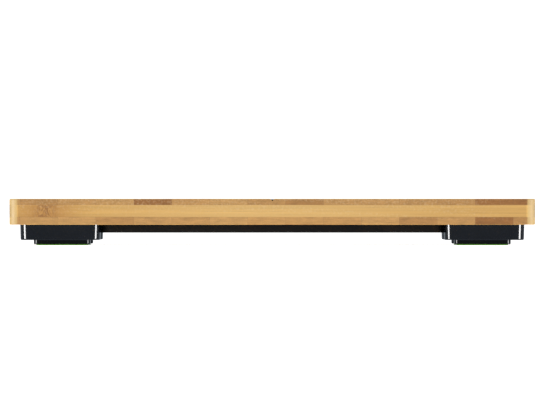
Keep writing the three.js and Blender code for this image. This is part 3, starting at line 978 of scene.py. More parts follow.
@dataclass(frozen=True)
class Rubber(Finish):
    """Soft rubber with a dry, slightly dusty skin."""

    color: tuple[float, float, float] = (0.11, 0.30, 0.03)

    def shade(self, g: Graph, shader: bpy.types.Node) -> None:
        """Mottles the colour and gives the skin a fine tooth.

        Args:
            g: The material's graph.
            shader: The Principled BSDF.
        """
        place = g.place()
        used = g.group(Effects.handling(), Vector=place, Smudge=0.8)
        mottle = g.noise(place, 0.5, 4.0)
        pale = (*(c * 1.25 + 0.006 for c in self.color), 1)
        color = g.blend(g.span(mottle, 0.30, 0.70, 0.0, 0.25), (*self.color, 1), pale)
        color = g.blend(g.times(used["Dust"], 0.25), color, (0.45, 0.50, 0.38, 1))
        tooth = g.noise(place, 6.0, 3.0)
        rough = g.span(used["Haze"], 0.0, 1.0, 0.72, 0.92)
        self.feed(
            g, shader, Base_Color=color, Roughness=rough, Normal=g.bump(tooth, 0.03), Specular_IOR_Level=0.35
        )


class Brush(Enum):
    """Which way a metal's grain runs."""

    NONE = "none"
    ALONG_X = "along_x"
    ALONG_Y = "along_y"
    ROUND = "round"


@dataclass(frozen=True)
class Metal(Finish):
    """Plated or brushed metal."""

    color: tuple[float, float, float] = (0.62, 0.63, 0.65)
    roughness: float = 0.3
    brush: Brush = Brush.NONE
    centre: Point = (0, 0, 0)
    stain: tuple[float, float, float] = (0.30, 0.28, 0.25)
    metallic: float = 1.0

    def shade(self, g: Graph, shader: bpy.types.Node) -> None:
        """Draws the brushing, a little tarnish and rubbed edges.

        Args:
            g: The material's graph.
            shader: The Principled BSDF.
        """
        place = g.vector("SUBTRACT", g.place(), self.centre)
        if self.brush is Brush.ROUND:
            split = g.node("ShaderNodeSeparateXYZ", {0: place}).outputs
            radius = g.math("SQRT", g.plus(g.math("POWER", split[0], 2.0), g.math("POWER", split[1], 2.0)))
            turn = g.math("ARCTAN2", split[1], split[0])
            lay = g.combine(g.times(radius, 7.0), g.times(turn, 0.8), split[2])
        elif self.brush is Brush.ALONG_X:
            lay = g.vector("MULTIPLY", place, (0.15, 6.0, 6.0))
        elif self.brush is Brush.ALONG_Y:
            lay = g.vector("MULTIPLY", place, (6.0, 0.15, 6.0))
        else:
            lay = g.vector("MULTIPLY", place, (1.5, 1.5, 1.5))
        lines = g.noise(lay, 1.0, 3.0)
        used = g.group(Effects.handling(), Vector=place, Smudge=0.6)
        wear = g.group(Effects.edge_wear(), Vector=place)
        bright = (*(min(1.0, c * 1.2 + 0.05) for c in self.color), 1)
        color = g.blend(g.span(lines, 0.3, 0.7, 0.0, 0.5), (*self.color, 1), bright)
        color = g.blend(g.times(used["Haze"], 0.3), color, (*self.stain, 1))
        color = g.blend(wear["Mask"], color, bright)
        rough = g.plus(g.times(lines, 0.18), self.roughness - 0.06)
        rough = g.plus(g.times(used["Haze"], 0.15), rough, clamp=True)
        self.feed(
            g, shader, Base_Color=color, Metallic=self.metallic, Roughness=rough, Normal=g.bump(lines, 0.008)
        )


@dataclass(frozen=True)
class Bamboo(Finish):
    """Three-ply laminated bamboo under a clear satin lacquer."""

    core_low: float = 13.4
    core_high: float = 19.2
    strip: float = 18.04
    joint_at: float = 6.3
    top_seed: float = 321849.0
    bottom_seed: float = 390787.0
    core_seed: float = 7.0
    core_knuckle: float = -108.0
    bottom_lift: float = 0.07
    # Strength of the painted highlight on the rounded upright corners.
    corner_painted_light: float = 0.75

    def shade(self, g: Graph, shader: bpy.types.Node) -> None:
        """Lays two cross-banded plies over the core.

        Args:
            g: The material's graph.
            shader: The Principled BSDF.
        """
        coords = g.node("ShaderNodeTexCoord")
        place = g.vector("MULTIPLY", coords.outputs["Object"], (1 / MM, 1 / MM, 1 / MM))
        x, y, z = g.node("ShaderNodeSeparateXYZ", {0: place}).outputs
        facing = g.node("ShaderNodeSeparateXYZ", {0: coords.outputs["Normal"]}).outputs
        below = g.math("LESS_THAN", z, (self.core_low + self.core_high) / 2)
        seed = g.plus(g.times(below, self.bottom_seed - self.top_seed), self.top_seed)
        outer, core = (
            g.group(
                Effects.bamboo_ply(),
                Along=along,
                Across=across,
                Through=z,
                Cut=g.span(g.unsigned(normal), 0.25, 0.95, 0.0, 1.0),
                Width=self.strip,
                Shift=shift,
                Seed=start,
                Knuckle=knuckle,
                Spread=spread,
            )
            for along, across, normal, shift, start, knuckle, spread in (
                (y, x, facing[1], -self.joint_at, seed, 60.0, 240.0),
                (x, y, facing[0], 90.0, self.core_seed, self.core_knuckle, 0.0),
            )
        )
        in_core = g.times(g.math("GREATER_THAN", z, self.core_low), g.math("LESS_THAN", z, self.core_high))
        paler = g.times(g.span(g.unsigned(x), 10.0, 105.0, 0.22, 0.0), in_core)
        lift = g.plus(g.times(below, self.bottom_lift), 1.0)
        plies = g.vector("MULTIPLY", outer["Color"], g.combine(lift, lift, lift))
        color = g.blend(in_core, plies, core["Color"])
        color = g.blend(paler, color, (0.86, 0.62, 0.27, 1))
        to_glue = g.math(
            "MINIMUM",
            g.unsigned(g.minus(z, self.core_low)),
            g.unsigned(g.minus(z, self.core_high)),
        )
        glue = g.span(to_glue, 0.02, 0.14, 1.0, 0.0)
        color = g.blend(g.times(glue, 0.35), color, (0.27, 0.13, 0.05, 1))
        # Painted highlight: the rounded upright corners, whose normals turn towards the side strips, are
        # blended towards pale cream in place of the side light they catch.
        oblique = g.math("MINIMUM", g.unsigned(facing[0]), g.unsigned(facing[1]))
        painted_corner_light = g.span(oblique, 0.16, 0.36, 0.0, self.corner_painted_light)
        color = g.blend(painted_corner_light, color, (0.72, 0.50, 0.19, 1))
        wear = g.group(Effects.edge_wear(), Vector=place)
        color = g.blend(g.times(wear["Mask"], 0.5), color, (0.80, 0.60, 0.34, 1))
        height_mix = g.node("ShaderNodeMix", {0: in_core, 2: outer["Height"], 3: core["Height"]})
        gloss_mix = g.node("ShaderNodeMix", {0: in_core, 2: outer["Gloss"], 3: core["Gloss"]})
        used = g.group(Effects.handling(), Vector=place)
        rough = g.plus(g.times(gloss_mix.outputs[0], 0.2), 0.40)
        rough = g.plus(g.times(used["Haze"], 0.12), rough, clamp=True)
        self.feed(
            g,
            shader,
            Base_Color=color,
            Roughness=rough,
            Normal=g.bump(height_mix.outputs[0], 0.05),
            Coat_Weight=0.2,
            Coat_Roughness=0.5,
            Specular_IOR_Level=0.32,
        )


@dataclass(frozen=True)
class SmokedLens(Finish):
    """Clear, lightly smoked acrylic."""

    def shade(self, g: Graph, shader: bpy.types.Node) -> None:
        """Lets light through, with faint smudges on the face.

        Args:
            g: The material's graph.
            shader: The Principled BSDF.
        """
        place = g.place()
        used = g.group(Effects.handling(), Vector=place, Smudge=0.5)
        rough = g.plus(g.times(used["Haze"], 0.05), 0.02)
        tint = g.blend(used["Dust"], (0.78, 0.80, 0.82, 1), (0.70, 0.72, 0.74, 1))
        self.feed(
            g,
            shader,
            Base_Color=tint,
            Roughness=rough,
            Transmission_Weight=1.0,
            IOR=1.3,
            Normal=g.bump(used["Height"], 0.001),
        )


@dataclass(frozen=True)
class LcdFace(Finish):
    """A reflective liquid-crystal panel with its dark border."""

    centre: Point = (0, 0, 0)
    view: tuple[float, float] = (46.0, 13.0)

    def shade(self, g: Graph, shader: bpy.types.Node) -> None:
        """Draws the grey-green polariser, its grain and the border round it.

        Args:
            g: The material's graph.
            shader: The Principled BSDF.
        """
        place = g.vector("SUBTRACT", g.place(), self.centre)
        split = g.node("ShaderNodeSeparateXYZ", {0: place}).outputs
        over_x = g.minus(g.unsigned(split[0]), self.view[0] / 2)
        over_y = g.minus(g.unsigned(split[1]), self.view[1] / 2)
        outside = g.span(g.math("MAXIMUM", over_x, over_y), -0.1, 0.1, 0.0, 1.0)
        grain = g.noise(place, 4.0, 2.0)
        cloud = g.noise(place, 0.08, 2.0)
        field = g.blend(g.span(cloud, 0.3, 0.7, 0.0, 1.0), (0.34, 0.40, 0.33, 1), (0.40, 0.46, 0.38, 1))
        field = g.blend(g.span(grain, 0.4, 0.7, 0.0, 0.15), field, (0.25, 0.30, 0.25, 1))
        color = g.blend(outside, field, (0.012, 0.012, 0.014, 1))
        rough = g.span(grain, 0.3, 0.7, 0.22, 0.34)
        self.feed(g, shader, Base_Color=color, Roughness=rough, Normal=g.bump(grain, 0.002))


@dataclass(frozen=True)
class CircuitLaminate(Finish):
    """Green solder mask over copper tracks."""

    centre: Point = (0, 0, 0)

    def shade(self, g: Graph, shader: bpy.types.Node) -> None:
        """Draws tracks, tinned pads and the glass weave.

        Args:
            g: The material's graph.
            shader: The Principled BSDF.
        """
        place = g.vector("SUBTRACT", g.place(), self.centre)
        cells = g.node("ShaderNodeTexVoronoi", {"Vector": place, "Scale": 0.32}, distance="CHEBYCHEV")
        ring = g.math("FRACT", g.times(cells.outputs["Distance"], 2.6))
        track = g.times(g.span(ring, 0.30, 0.36, 0.0, 1.0), g.span(ring, 0.62, 0.68, 1.0, 0.0))
        pad = g.span(cells.outputs["Distance"], 0.10, 0.14, 1.0, 0.0)
        weave = g.noise(g.vector("MULTIPLY", place, (2.0, 2.0, 2.0)), 2.0, 2.0)
        mask = g.blend(g.times(weave, 0.4), (0.010, 0.085, 0.030, 1), (0.018, 0.120, 0.045, 1))
        color = g.blend(track, mask, (0.030, 0.200, 0.070, 1))
        color = g.blend(pad, color, (0.60, 0.61, 0.62, 1))
        height = g.plus(track, g.times(pad, 1.5))
        rough = g.span(weave, 0.3, 0.7, 0.28, 0.45)
        self.feed(g, shader, Base_Color=color, Roughness=rough, Metallic=pad, Normal=g.bump(height, 0.03))


@dataclass(frozen=True)
class LabelFilm(Finish):
    """A silver label film with a thin printed frame and blank boxes."""

    centre: Point = (0, 0, 0)
    size: tuple[float, float] = (62.0, 34.0)

    def shade(self, g: Graph, shader: bpy.types.Node) -> None:
        """Prints a border and two empty boxes on the film.

        Args:
            g: The material's graph.
            shader: The Principled BSDF.
        """
        place = g.vector("SUBTRACT", g.place(), self.centre)
        split = g.node("ShaderNodeSeparateXYZ", {0: place}).outputs
        lines = []
        frame_half = (self.size[0] / 2 - 2, self.size[1] / 2 - 2)
        boxes = ((0.0, 0.0, *frame_half), (12.0, 0.0, 15.0, 9.0), (-18.0, 4.0, 9.0, 6.0))
        for cx, cy, half_x, half_y in boxes:
            dx = g.minus(g.unsigned(g.minus(split[0], cx)), half_x)
            dy = g.minus(g.unsigned(g.minus(split[1], cy)), half_y)
            away = g.unsigned(g.math("MAXIMUM", dx, dy))
            lines.append(g.span(away, 0.12, 0.22, 1.0, 0.0))
        ink = g.math("MAXIMUM", lines[0], g.math("MAXIMUM", lines[1], lines[2]))
        fibre = g.noise(g.vector("MULTIPLY", place, (0.4, 3.0, 1.0)), 1.0, 3.0)
        film = g.blend(fibre, (0.50, 0.51, 0.52, 1), (0.60, 0.61, 0.62, 1))
        color = g.blend(ink, film, (0.03, 0.03, 0.03, 1))
        rough = g.span(fibre, 0.3, 0.7, 0.32, 0.5)
        self.feed(g, shader, Base_Color=color, Roughness=rough, Normal=g.bump(fibre, 0.004), Metallic=0.35)


@dataclass(frozen=True)
class SleevedLead(Finish):
    """A few thin wires in a dark woven sleeve."""

    def shade(self, g: Graph, shader: bpy.types.Node) -> None:
        """Draws the sleeve's crossed threads.

        Args:
            g: The material's graph.
            shader: The Principled BSDF.
        """
        place = g.place()
        split = g.node("ShaderNodeSeparateXYZ", {0: place}).outputs
        one = g.math("SINE", g.times(g.plus(split[0], split[1]), 9.0))
        two = g.math("SINE", g.times(g.minus(split[0], split[1]), 9.0))
        weave = g.times(g.plus(g.times(one, two), 1.0), 0.5)
        color = g.blend(weave, (0.012, 0.012, 0.013, 1), (0.050, 0.050, 0.054, 1))
        rough = g.span(weave, 0.0, 1.0, 0.7, 0.5)
        self.feed(g, shader, Base_Color=color, Roughness=rough, Normal=g.bump(weave, 0.06))


BAMBOO = Bamboo("lacquered_bamboo", "bamboo")
GLOSS_BLACK = Plastic(
    "gloss_black_plastic", "gloss_black", (0.0030, 0.0042, 0.0075), 0.09, grain_depth=0.003, smudge=0.35,
    reflectance=0.5,
)
# Painted shade: the shoe's copy of the gloss black is darker than the housing's because the shoe sits in
# shade under the housing.
SHOE_BLACK = Plastic(
    "shoe_black_plastic", "gloss_black", (0.0016, 0.0017, 0.0022), 0.12, grain_depth=0.003, smudge=0.3,
    reflectance=0.25,
)
FASCIA_BLACK = Plastic(
    "fascia_black_plastic", "fascia_black", (0.008, 0.008, 0.010), 0.16, grain_depth=0.004, smudge=0.5
)
TRAY_BLACK = Plastic(
    "tray_black_plastic", "tray_black", (0.0045, 0.0045, 0.0050), 0.50, 1.0, 0.05, reflectance=0.25
)
SWITCH_BLACK = Plastic("switch_black_plastic", "switch_black", (0.02, 0.02, 0.022), 0.4, 0.6)
PLUNGER = Plastic("plunger_plastic", "switch_plunger", (0.62, 0.50, 0.42), 0.4, 0.6)
SILICONE = Plastic("strip_silicone", "silicone_strip", (0.60, 0.50, 0.46), 0.6, 0.8)
EPOXY = Plastic("black_epoxy", "epoxy_black", (0.010, 0.010, 0.011), 0.22, 0.5, 0.03)
GREEN_RUBBER = Rubber("pad_rubber", "green_rubber", (0.175, 0.480, 0.030))
ZINC = Metal("zinc_plate", "zinc_screw", (0.58, 0.60, 0.63), 0.30)
CONTACT_METAL = Metal("contact_plate", "contact_plated", (0.66, 0.64, 0.58), 0.26, Brush.ALONG_X)
GAUGE_STEEL = Metal("tongue_steel", "gauge_steel", (0.40, 0.41, 0.42), 0.38, Brush.ALONG_Y)
LEAD_SLEEVE = SleevedLead("lead_jacket", "lead_sleeve")
SMOKED_LENS = SmokedLens("lens_acrylic", "smoked_lens")


# ---------------------------------------------------------------- the platform


@dataclass
class Platform:
    """The bamboo board with its grooves, panel window and pockets."""

    corner: float = 5.0
    ease: float = 0.55
    groove_pitch: float = 63.3
    groove: tuple[float, float] = (1.3, 0.65)
    middle_groove: tuple[float, float] = (1.9, 1.1)
    groove_ease: float = 0.22
    skin: float = 4.5
    window_gap: float = 0.3
    pilot_gap: float = 0.3
    bore_room: float = 1.3
    pocket_corner: float = 3.0
    cup_gap: float = 0.4

    def build(self) -> None:
        """Shapes the board and cuts its grooves, window and pockets."""
        box = Box.of("bamboo_platform")
        self.top = box.high.z
        board = rounded_block("platform_board", box.low, box.high, self.corner, 12)
        board.bevel(lambda a, b: rim_at(box.high.z)(a, b) or rim_at(box.low.z)(a, b), self.ease, 3)
        board.cut(*(self.vee(side, box) for side in (-1, 0, 1)))
        board.bevel(self.is_groove_rim, self.groove_ease, 2)
        board.cut(*self.hollows(box))
        board.smooth().dress(BAMBOO, Body.FRAME, "bamboo_platform")

    def groove_size(self, side: int) -> tuple[float, float]:
        """Returns a groove's width and depth; the middle one is larger."""
        return self.groove if side else self.middle_groove

    def vee(self, side: int, box: Box) -> Workpiece:
        """Makes a V-shaped cutter from a block whose lower face is drawn to a line.

        Args:
            side: -1, 0 or 1 for the left, middle or right groove.
            box: The board's box.

        Returns:
            The cutter.
        """
        width, depth = self.groove_size(side)
        x = side * self.groove_pitch
        low = (x - width, box.low.y - 1, self.top - depth)
        cutter = Workpiece.block("groove_tool", low, (x + width, box.high.y + 1, self.top + depth))
        return cutter.resize_faces(lambda c, n: n.z < -0.9, (0, 1, 1), (x, 0, self.top - depth)).outward()

    def is_groove_rim(self, a: Vector, b: Vector) -> bool:
        """Accepts the two long upper edges of each groove.

        Args:
            a: One end of the edge, in mm.
            b: The other end, in mm.

        Returns:
            Whether the edge is one of them.
        """
        if abs(a.y - b.y) < 1 or min(a.z, b.z) < self.top - 0.01:
            return False
        for side in (-1, 0, 1):
            half = self.groove_size(side)[0] / 2
            if all(abs(abs(p.x - side * self.groove_pitch) - half) < 0.02 for p in (a, b)):
                return True
        return False

    def hollows(self, box: Box) -> list[Workpiece]:
        """Makes the cutters for the window, the electronics pocket, the battery cup and the screws.

        Args:
            box: The board's box.

        Returns:
            The cutters.
        """
        fascia = Box.of("control_fascia")
        plate = ControlPanel.plate_box(fascia)
        roof = self.top - self.skin
        gap = Vector((self.window_gap, self.window_gap, 0))
        window_low, window_high = plate.low - gap, plate.high + gap
        window = rounded_block(
            "window_tool",
            (window_low.x, window_low.y, roof - 1),
            (window_high.x, window_high.y, self.top + 1),
            (window_high.y - window_low.y) / 2 - 0.01,
            20,
        )
        pocket_low, pocket_high = fascia.low - gap, fascia.high + gap
        pocket = rounded_block(
            "pocket_tool",
            (pocket_low.x, pocket_low.y, box.low.z - 1),
            (pocket_high.x, pocket_high.y, roof),
            self.pocket_corner,
            5,
        )
        cup = Box.of("battery_holder")
        radius = cup.size.y / 2 + self.cup_gap
        well = Workpiece.rod(
            "well_tool", radius, (0, cup.centre.y, box.low.z - 1), cup.high.z + self.bore_room - box.low.z, 64
        )
        screws = [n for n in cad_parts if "_screw_" in n]
        pilots = []
        for node in screws:
            bite = Box.of(node)
            start = roof if node.startswith("fascia") else box.low.z
            shank = bite.size.x / 4 + self.pilot_gap
            foot = (bite.centre.x, bite.centre.y, start - 1)
            height = bite.high.z + self.bore_room - start
            pilots.append(Workpiece.rod("pilot_tool", shank, foot, height, 16))
        return [window, pocket, well, *pilots]


# ---------------------------------------------------------------- the control panel


@dataclass
class ControlPanel:
    """The fascia with its display, two buttons and the parts behind them."""

    plate_half: tuple[float, float] = (54.7, 12.7)
    plate_thick: float = 1.8
    flange_thick: float = 1.5
    flange_corner: float = 2.7
    lens_gap: float = 0.15
    lens_corner: float = 2.35
    aperture: tuple[float, float] = (47.0, 14.0)
    key_gap: float = 0.3
    key_room: float = 0.5
    key_x: float = 45.0
    key_flange: float = 0.8
    key_ease: float = 0.35
    face_ease: float = 0.45
    stake_x: float = 32.0
    post: float = 2.8
    pin: float = 1.4
    pin_reach: float = 0.7
    glass_gap: float = 0.3
    flange_gap: float = 0.3
    screw_hole: float = 1.4

    @staticmethod
    def plate_box(fascia: Box) -> Box:
        """Returns the box of the fascia's visible plate, inside its wider flange.

        Args:
            fascia: The fascia's box.

        Returns:
            The plate's box.
        """
        half = ControlPanel.plate_half
        c = fascia.centre
        return Box(
            Vector((c.x - half[0], c.y - half[1], fascia.low.z)),
            Vector((c.x + half[0], c.y + half[1], fascia.high.z)),
        )

    def build(self) -> None:
        """Builds every piece of the panel."""
        self.box = Box.of("control_fascia")
        self.face = self.box.high.z
        self.y = self.box.centre.y
        self.build_fascia()
        self.build_lens()
        self.build_lcd()
        self.build_buttons()
        self.build_electronics()

    def build_fascia(self) -> None:
        """Shapes the plate, its flange, the display well and the button wells."""
        plate = self.plate_box(self.box)
        lens = Box.of("display_lens")
        board = Box.of("main_board")
        flange_top = Box.of("bamboo_platform").high.z - Platform.skin - self.flange_gap
        flange_low = flange_top - self.flange_thick
        outline = plate.grown(0, flange_top - 0.5, self.face)
        work = rounded_block("fascia_plate", *outline, plate.size.y / 2 - 0.01, 20)
        work.bevel(rim_at(self.face), self.face_ease, 3)
        outline = self.box.grown(0, flange_low, flange_top)
        flange = rounded_block("flange", *outline, self.flange_corner, 5)
        posts = []
        for side in (-1, 1):
            x = side * self.stake_x
            top = board.high.z
            posts.append(Workpiece.rod("post", self.post, (x, self.y, top), flange_low + 1 - top, 24))
            pin_foot = board.low.z - self.pin_reach
            posts.append(Workpiece.rod("pin", self.pin, (x, self.y, pin_foot), top + 1 - pin_foot, 20))
            head = [(1.2, 0), (1.9, 0.15), (2.2, 0.45), (2.2, 0.9)]
            posts.append(Workpiece.turned("stake", head, (x, self.y, self.box.low.z), 24))
        work.weld(flange, *posts)
        under_plate = self.face - self.plate_thick
        gap = self.lens_gap
        outline = lens.grown(gap, lens.low.z, self.face + 1)
        recess = rounded_block("recess_tool", *outline, self.lens_corner + gap, 6)
        half_x, half_y = self.aperture[0] / 2, self.aperture[1] / 2
        opening = rounded_block(
            "opening_tool",
            (-half_x, self.y - half_y, under_plate - 1),
            (half_x, self.y + half_y, self.face + 1),
            1.0,
            3,
        )
        outline = Box.of("lcd_panel").grown(self.glass_gap, flange_low - 1, under_plate)
        well = Workpiece.block("glass_tool", *outline)
        keys = []
        for side in (-1, 1):
            radius = self.key_radius() + self.key_gap
            foot = (side * self.key_x, self.y, under_plate - 1)
            keys.append(Workpiece.rod("key_tool", radius, foot, 4, 56))
            room = Box.of("button_tare").size.x / 2 + self.key_room
            foot = (side * self.key_x, self.y, flange_low - 1)
            keys.append(Workpiece.rod("room_tool", room, foot, under_plate - flange_low + 1, 48))
        holes = []
        for node in ("fascia_screw_1", "fascia_screw_2"):
            c = Box.of(node).centre
            holes.append(Workpiece.rod("hole_tool", self.screw_hole, (c.x, c.y, flange_low - 1), 5, 20))
        work.cut(recess, opening, well, *keys, *holes)
        for side in (-1, 1):
            centre = Vector((side * self.key_x, self.y, 0))
            work.bevel(rim_near(self.face, centre, self.key_radius() + 2 * self.key_gap), self.key_ease, 3)
        work.smooth().dress(FASCIA_BLACK, Body.FRAME, "control_fascia")

    @staticmethod
    def key_radius() -> float:
        """Returns a button cap's radius, inside its wider flange."""
        return Box.of("button_tare").size.x / 2 - ControlPanel.key_flange

    def build_lens(self) -> None:
        """Shapes the clear lens with a polished rim."""
        box = Box.of("display_lens")
        work = rounded_block("lens_plate", box.low, box.high, self.lens_corner, 8)
        work.bevel(rim_at(box.high.z), 0.2, 3)
        work.smooth().dress(SMOKED_LENS, Body.FRAME, "display_lens")

    def build_lcd(self) -> None:
        """Stacks the glass panel and lays the dark segments of its digits on it."""
        box = Box.of("lcd_panel")
        finish = LcdFace("lcd_face", "lcd_glass", centre=tuple(box.centre))
        work = Workpiece.block("lcd_glass", box.low, box.high)
        work.inset_push(lambda c, n: n.z > 0.9, 0.6, 0.0)
        work.inset_push(lambda c, n: n.z > 0.9 and abs(c.x) < 1, 0.3, -0.25)
        work.bevel(upright, 0.25, 2)
        work.smooth().dress(finish, Body.FRAME, "lcd_panel")
        digits = Digits(Vector((0.0, self.y, box.high.z - 0.25)))
        digits.build()

    def build_buttons(self) -> None:
        """Turns one dished cap with a flange and a stem, and copies it to the other place."""
        box = Box.of("button_tare")
        c = box.centre
        radius = self.key_radius()
        flange = box.size.x / 2
        top = box.size.z
        shoulder = self.face - self.plate_thick - 0.3 - box.low.z
        profile = [
            (1.8, 0.0),
            (2.0, 0.15),
            (2.0, shoulder - 1.0),
            (flange - 0.15, shoulder - 1.0),
            (flange, shoulder - 0.85),
            (flange, shoulder - 0.15),
            (flange - 0.15, shoulder),
            (radius, shoulder),
            (radius, top - 0.45),
            (radius - 0.06, top - 0.22),
            (radius - 0.2, top - 0.07),
            (radius - 0.42, top),
            (radius - 0.75, top - 0.02),
            (radius * 0.62, top - 0.16),
            (radius * 0.34, top - 0.25),
            (radius * 0.10, top - 0.29),
        ]
        tare = Workpiece.turned("button_tare_cap", profile, (c.x, c.y, box.low.z), 64)
        offset = Box.of("button_unit").centre - c
        unit = tare.twin("button_unit_cap").shift(tuple(offset))
        for cap, node, body in ((tare, "button_tare", Body.TARE), (unit, "button_unit", Body.UNIT)):
            middle = tuple(Box.of(node).centre)
            silver = Metal(
                f"{node}_silver", "key_silver", (0.56, 0.57, 0.59), 0.28, Brush.ROUND, middle, metallic=0.85
            )
            cap.smooth().dress(silver, body, node)

    def build_electronics(self) -> None:
        """Dresses the board behind the fascia and its small parts."""
        board = Box.of("main_board")
        laminate = CircuitLaminate("circuit_laminate", "circuit_board", centre=tuple(board.centre))
        dress_node("main_board", laminate)
        dress_node("lcd_contact_strip", SILICONE)
        for key in ("tare", "unit"):
            dress_node(f"tact_switch_{key}", SWITCH_BLACK)
            dress_node(f"tact_plunger_{key}", PLUNGER)
        chip = Box.of("controller_chip")
        c = chip.centre
        profile = [(1.2, 0.0), (2.6, 0.06), (3.9, 0.25), (4.9, 0.55), (5.6, 0.92), (6.0, 1.22), (6.0, 1.4)]
        dome = Workpiece.turned("controller_dome", profile, (c.x, c.y, chip.low.z), 40)
        dome.smooth(50).dress(EPOXY, Body.FRAME, "controller_chip")


@dataclass
class Digits:
    """Seven-segment digits: a zero that is on, and others that are off."""

    origin: Vector
    height: float = 9.0
    width: float = 5.0
    stroke: float = 0.95
    thick: float = 0.05
    slant: float = 0.09
    pitch: float = 7.6

    def build(self) -> None:
        """Lays three unlit digits and a lit zero on the glass."""
        lit = LcdInk("lcd_ink_dark", "lcd_glass", shade_value=0.012)
        faint = LcdInk("lcd_ink_faint", "lcd_glass", shade_value=0.27)
        first = self.shape("digit_1_off", 0, "abcdefg")
        for index in (1, 2):
            copy = first.twin(f"digit_{index + 1}_off").shift((index * self.pitch, 0, 0))
            copy.dress(faint, Body.FRAME)
        first.dress(faint, Body.FRAME)
        self.shape("digit_4_lit", 3, "abcdef").dress(lit, Body.FRAME)
        self.shape("digit_4_off", 3, "g").dress(faint, Body.FRAME)

    def shape(self, name: str, index: int, segments: str) -> Workpiece:
        """Joins a digit's segments into one piece.

        Args:
            name: The piece's name.
            index: The digit's place, counted from the left.
            segments: The letters of the segments.

        Returns:
            The piece.
        """
        h, w, s = self.height / 4, self.width / 2, self.stroke
        x = self.origin.x + (index - 1.5) * self.pitch
        middles = {
            "a": (0, 2 * h, True),
            "g": (0, 0, True),
            "d": (0, -2 * h, True),
            "f": (-w, h, False),
            "b": (w, h, False),
            "e": (-w, -h, False),
            "c": (w, -h, False),
        }
        bars = []
        for letter in segments:
            dx, dy, level = middles[letter]
            half = (w - s * 0.62, s / 2) if level else (s / 2, h - s * 0.62)
            cx, cy = x + dx + dy * self.slant, self.origin.y + dy
            low = (cx - half[0], cy - half[1], self.origin.z)
            high = (cx + half[0], cy + half[1], self.origin.z + self.thick)
            bars.append(Workpiece.block("bar", low, high).bevel(upright, s * 0.42, 1))
        return bars[0].weld(*bars[1:]).named(name)


@dataclass(frozen=True)
class LcdInk(Finish):
    """A liquid-crystal segment."""

    shade_value: float = 0.02

    def shade(self, g: Graph, shader: bpy.types.Node) -> None:
        """Gives the segment a flat, slightly mottled grey.

        Args:
            g: The material's graph.
            shader: The Principled BSDF.
        """
        grain = g.noise(g.place(), 3.0, 2.0)
        v = self.shade_value
        color = g.blend(grain, (v, v * 1.1, v, 1), (v * 1.15, v * 1.3, v * 1.15, 1))
        self.feed(g, shader, Base_Color=color, Roughness=g.span(grain, 0.3, 0.7, 0.35, 0.45))


def dress_node(node: str, finish: Finish) -> None:
    """Gives a frame node that keeps its shape a better finish.

    Args:
        node: The node.
        finish: Its finish.
    """
    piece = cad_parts[node]
    for slot in piece.material_slots:
        slot.material = finish.material()
    LOG.info("%s keeps its shape", node)


# ---------------------------------------------------------------- screws


class ScrewFamily(Enum):
    """The screws of one place, with the thickness of their heads in mm."""

    FASCIA = ("fascia", 1.1)
    TRAY = ("tray", 1.5)
    HOUSING = ("housing", 1.4)

    @property
    def place(self) -> str:
        """The start of the screws' names."""
        return self.value[0]

    @property
    def head(self) -> float:
        """The head's thickness, in mm."""
        return self.value[1]


@dataclass
class Screws:
    """Pan-head cross-recess screws, modelled once for each size and copied to their places."""

    cross_width: float = 0.30
    cross_reach: float = 0.62
    turn_step: float = 37.0

    def build(self) -> None:
        """Makes each family's first screw and copies it."""
        for family in ScrewFamily:
            nodes = sorted(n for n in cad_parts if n.startswith(f"{family.place}_screw"))
            first = Box.of(nodes[0])
            master = self.shape(f"{nodes[0]}_metal", first, family.head)
            for index, node in enumerate(nodes):
                offset = Box.of(node).centre - first.centre
                work = master if index == 0 else master.twin(f"{node}_metal").shift(tuple(offset))
                if index:
                    work.turn(self.turn_step * index, tuple(Box.of(node).centre))
                work.dress(ZINC, Body.FRAME, node)

    def shape(self, name: str, box: Box, thick: float) -> Workpiece:
        """Turns a screw and cuts its cross recess.

        Args:
            name: The screw's name.
            box: The screw's box.
            thick: The head's thickness, in mm.

        Returns:
            The screw.
        """
        head = box.size.x / 2 * 0.995
        shank = head / 2 * 0.98
        length = box.size.z
        profile = [(head * 0.35, 0), (head * 0.7, thick * 0.10), (head * 0.9, thick * 0.30)]
        profile += [(head, thick * 0.62), (head, thick), (shank * 0.82, thick)]
        pitch, root = shank * 0.62, shank * 0.78
        level = thick + 0.4
        while level + pitch < length - shank:
            crest, foot = level + pitch * 0.42, level + pitch * 0.84
            profile += [(root, level), (shank, crest), (root, foot)]
            level += pitch
        profile += [(root, length - shank), (shank * 0.25, length)]
        c = box.centre
        work = Workpiece.turned(name, profile, (c.x, c.y, box.low.z), 28)
        arm, half = head * self.cross_reach, head * self.cross_width / 2
        deep = thick * 0.55
        for along, wide in ((arm, half), (half, arm)):
            low = (c.x - along, c.y - wide, box.low.z - 0.5)
            slot = Workpiece.block("cross_tool", low, (c.x + along, c.y + wide, box.low.z + deep))
            work.cut(slot)
        return work.smooth(32)


# ---------------------------------------------------------------- the base and battery


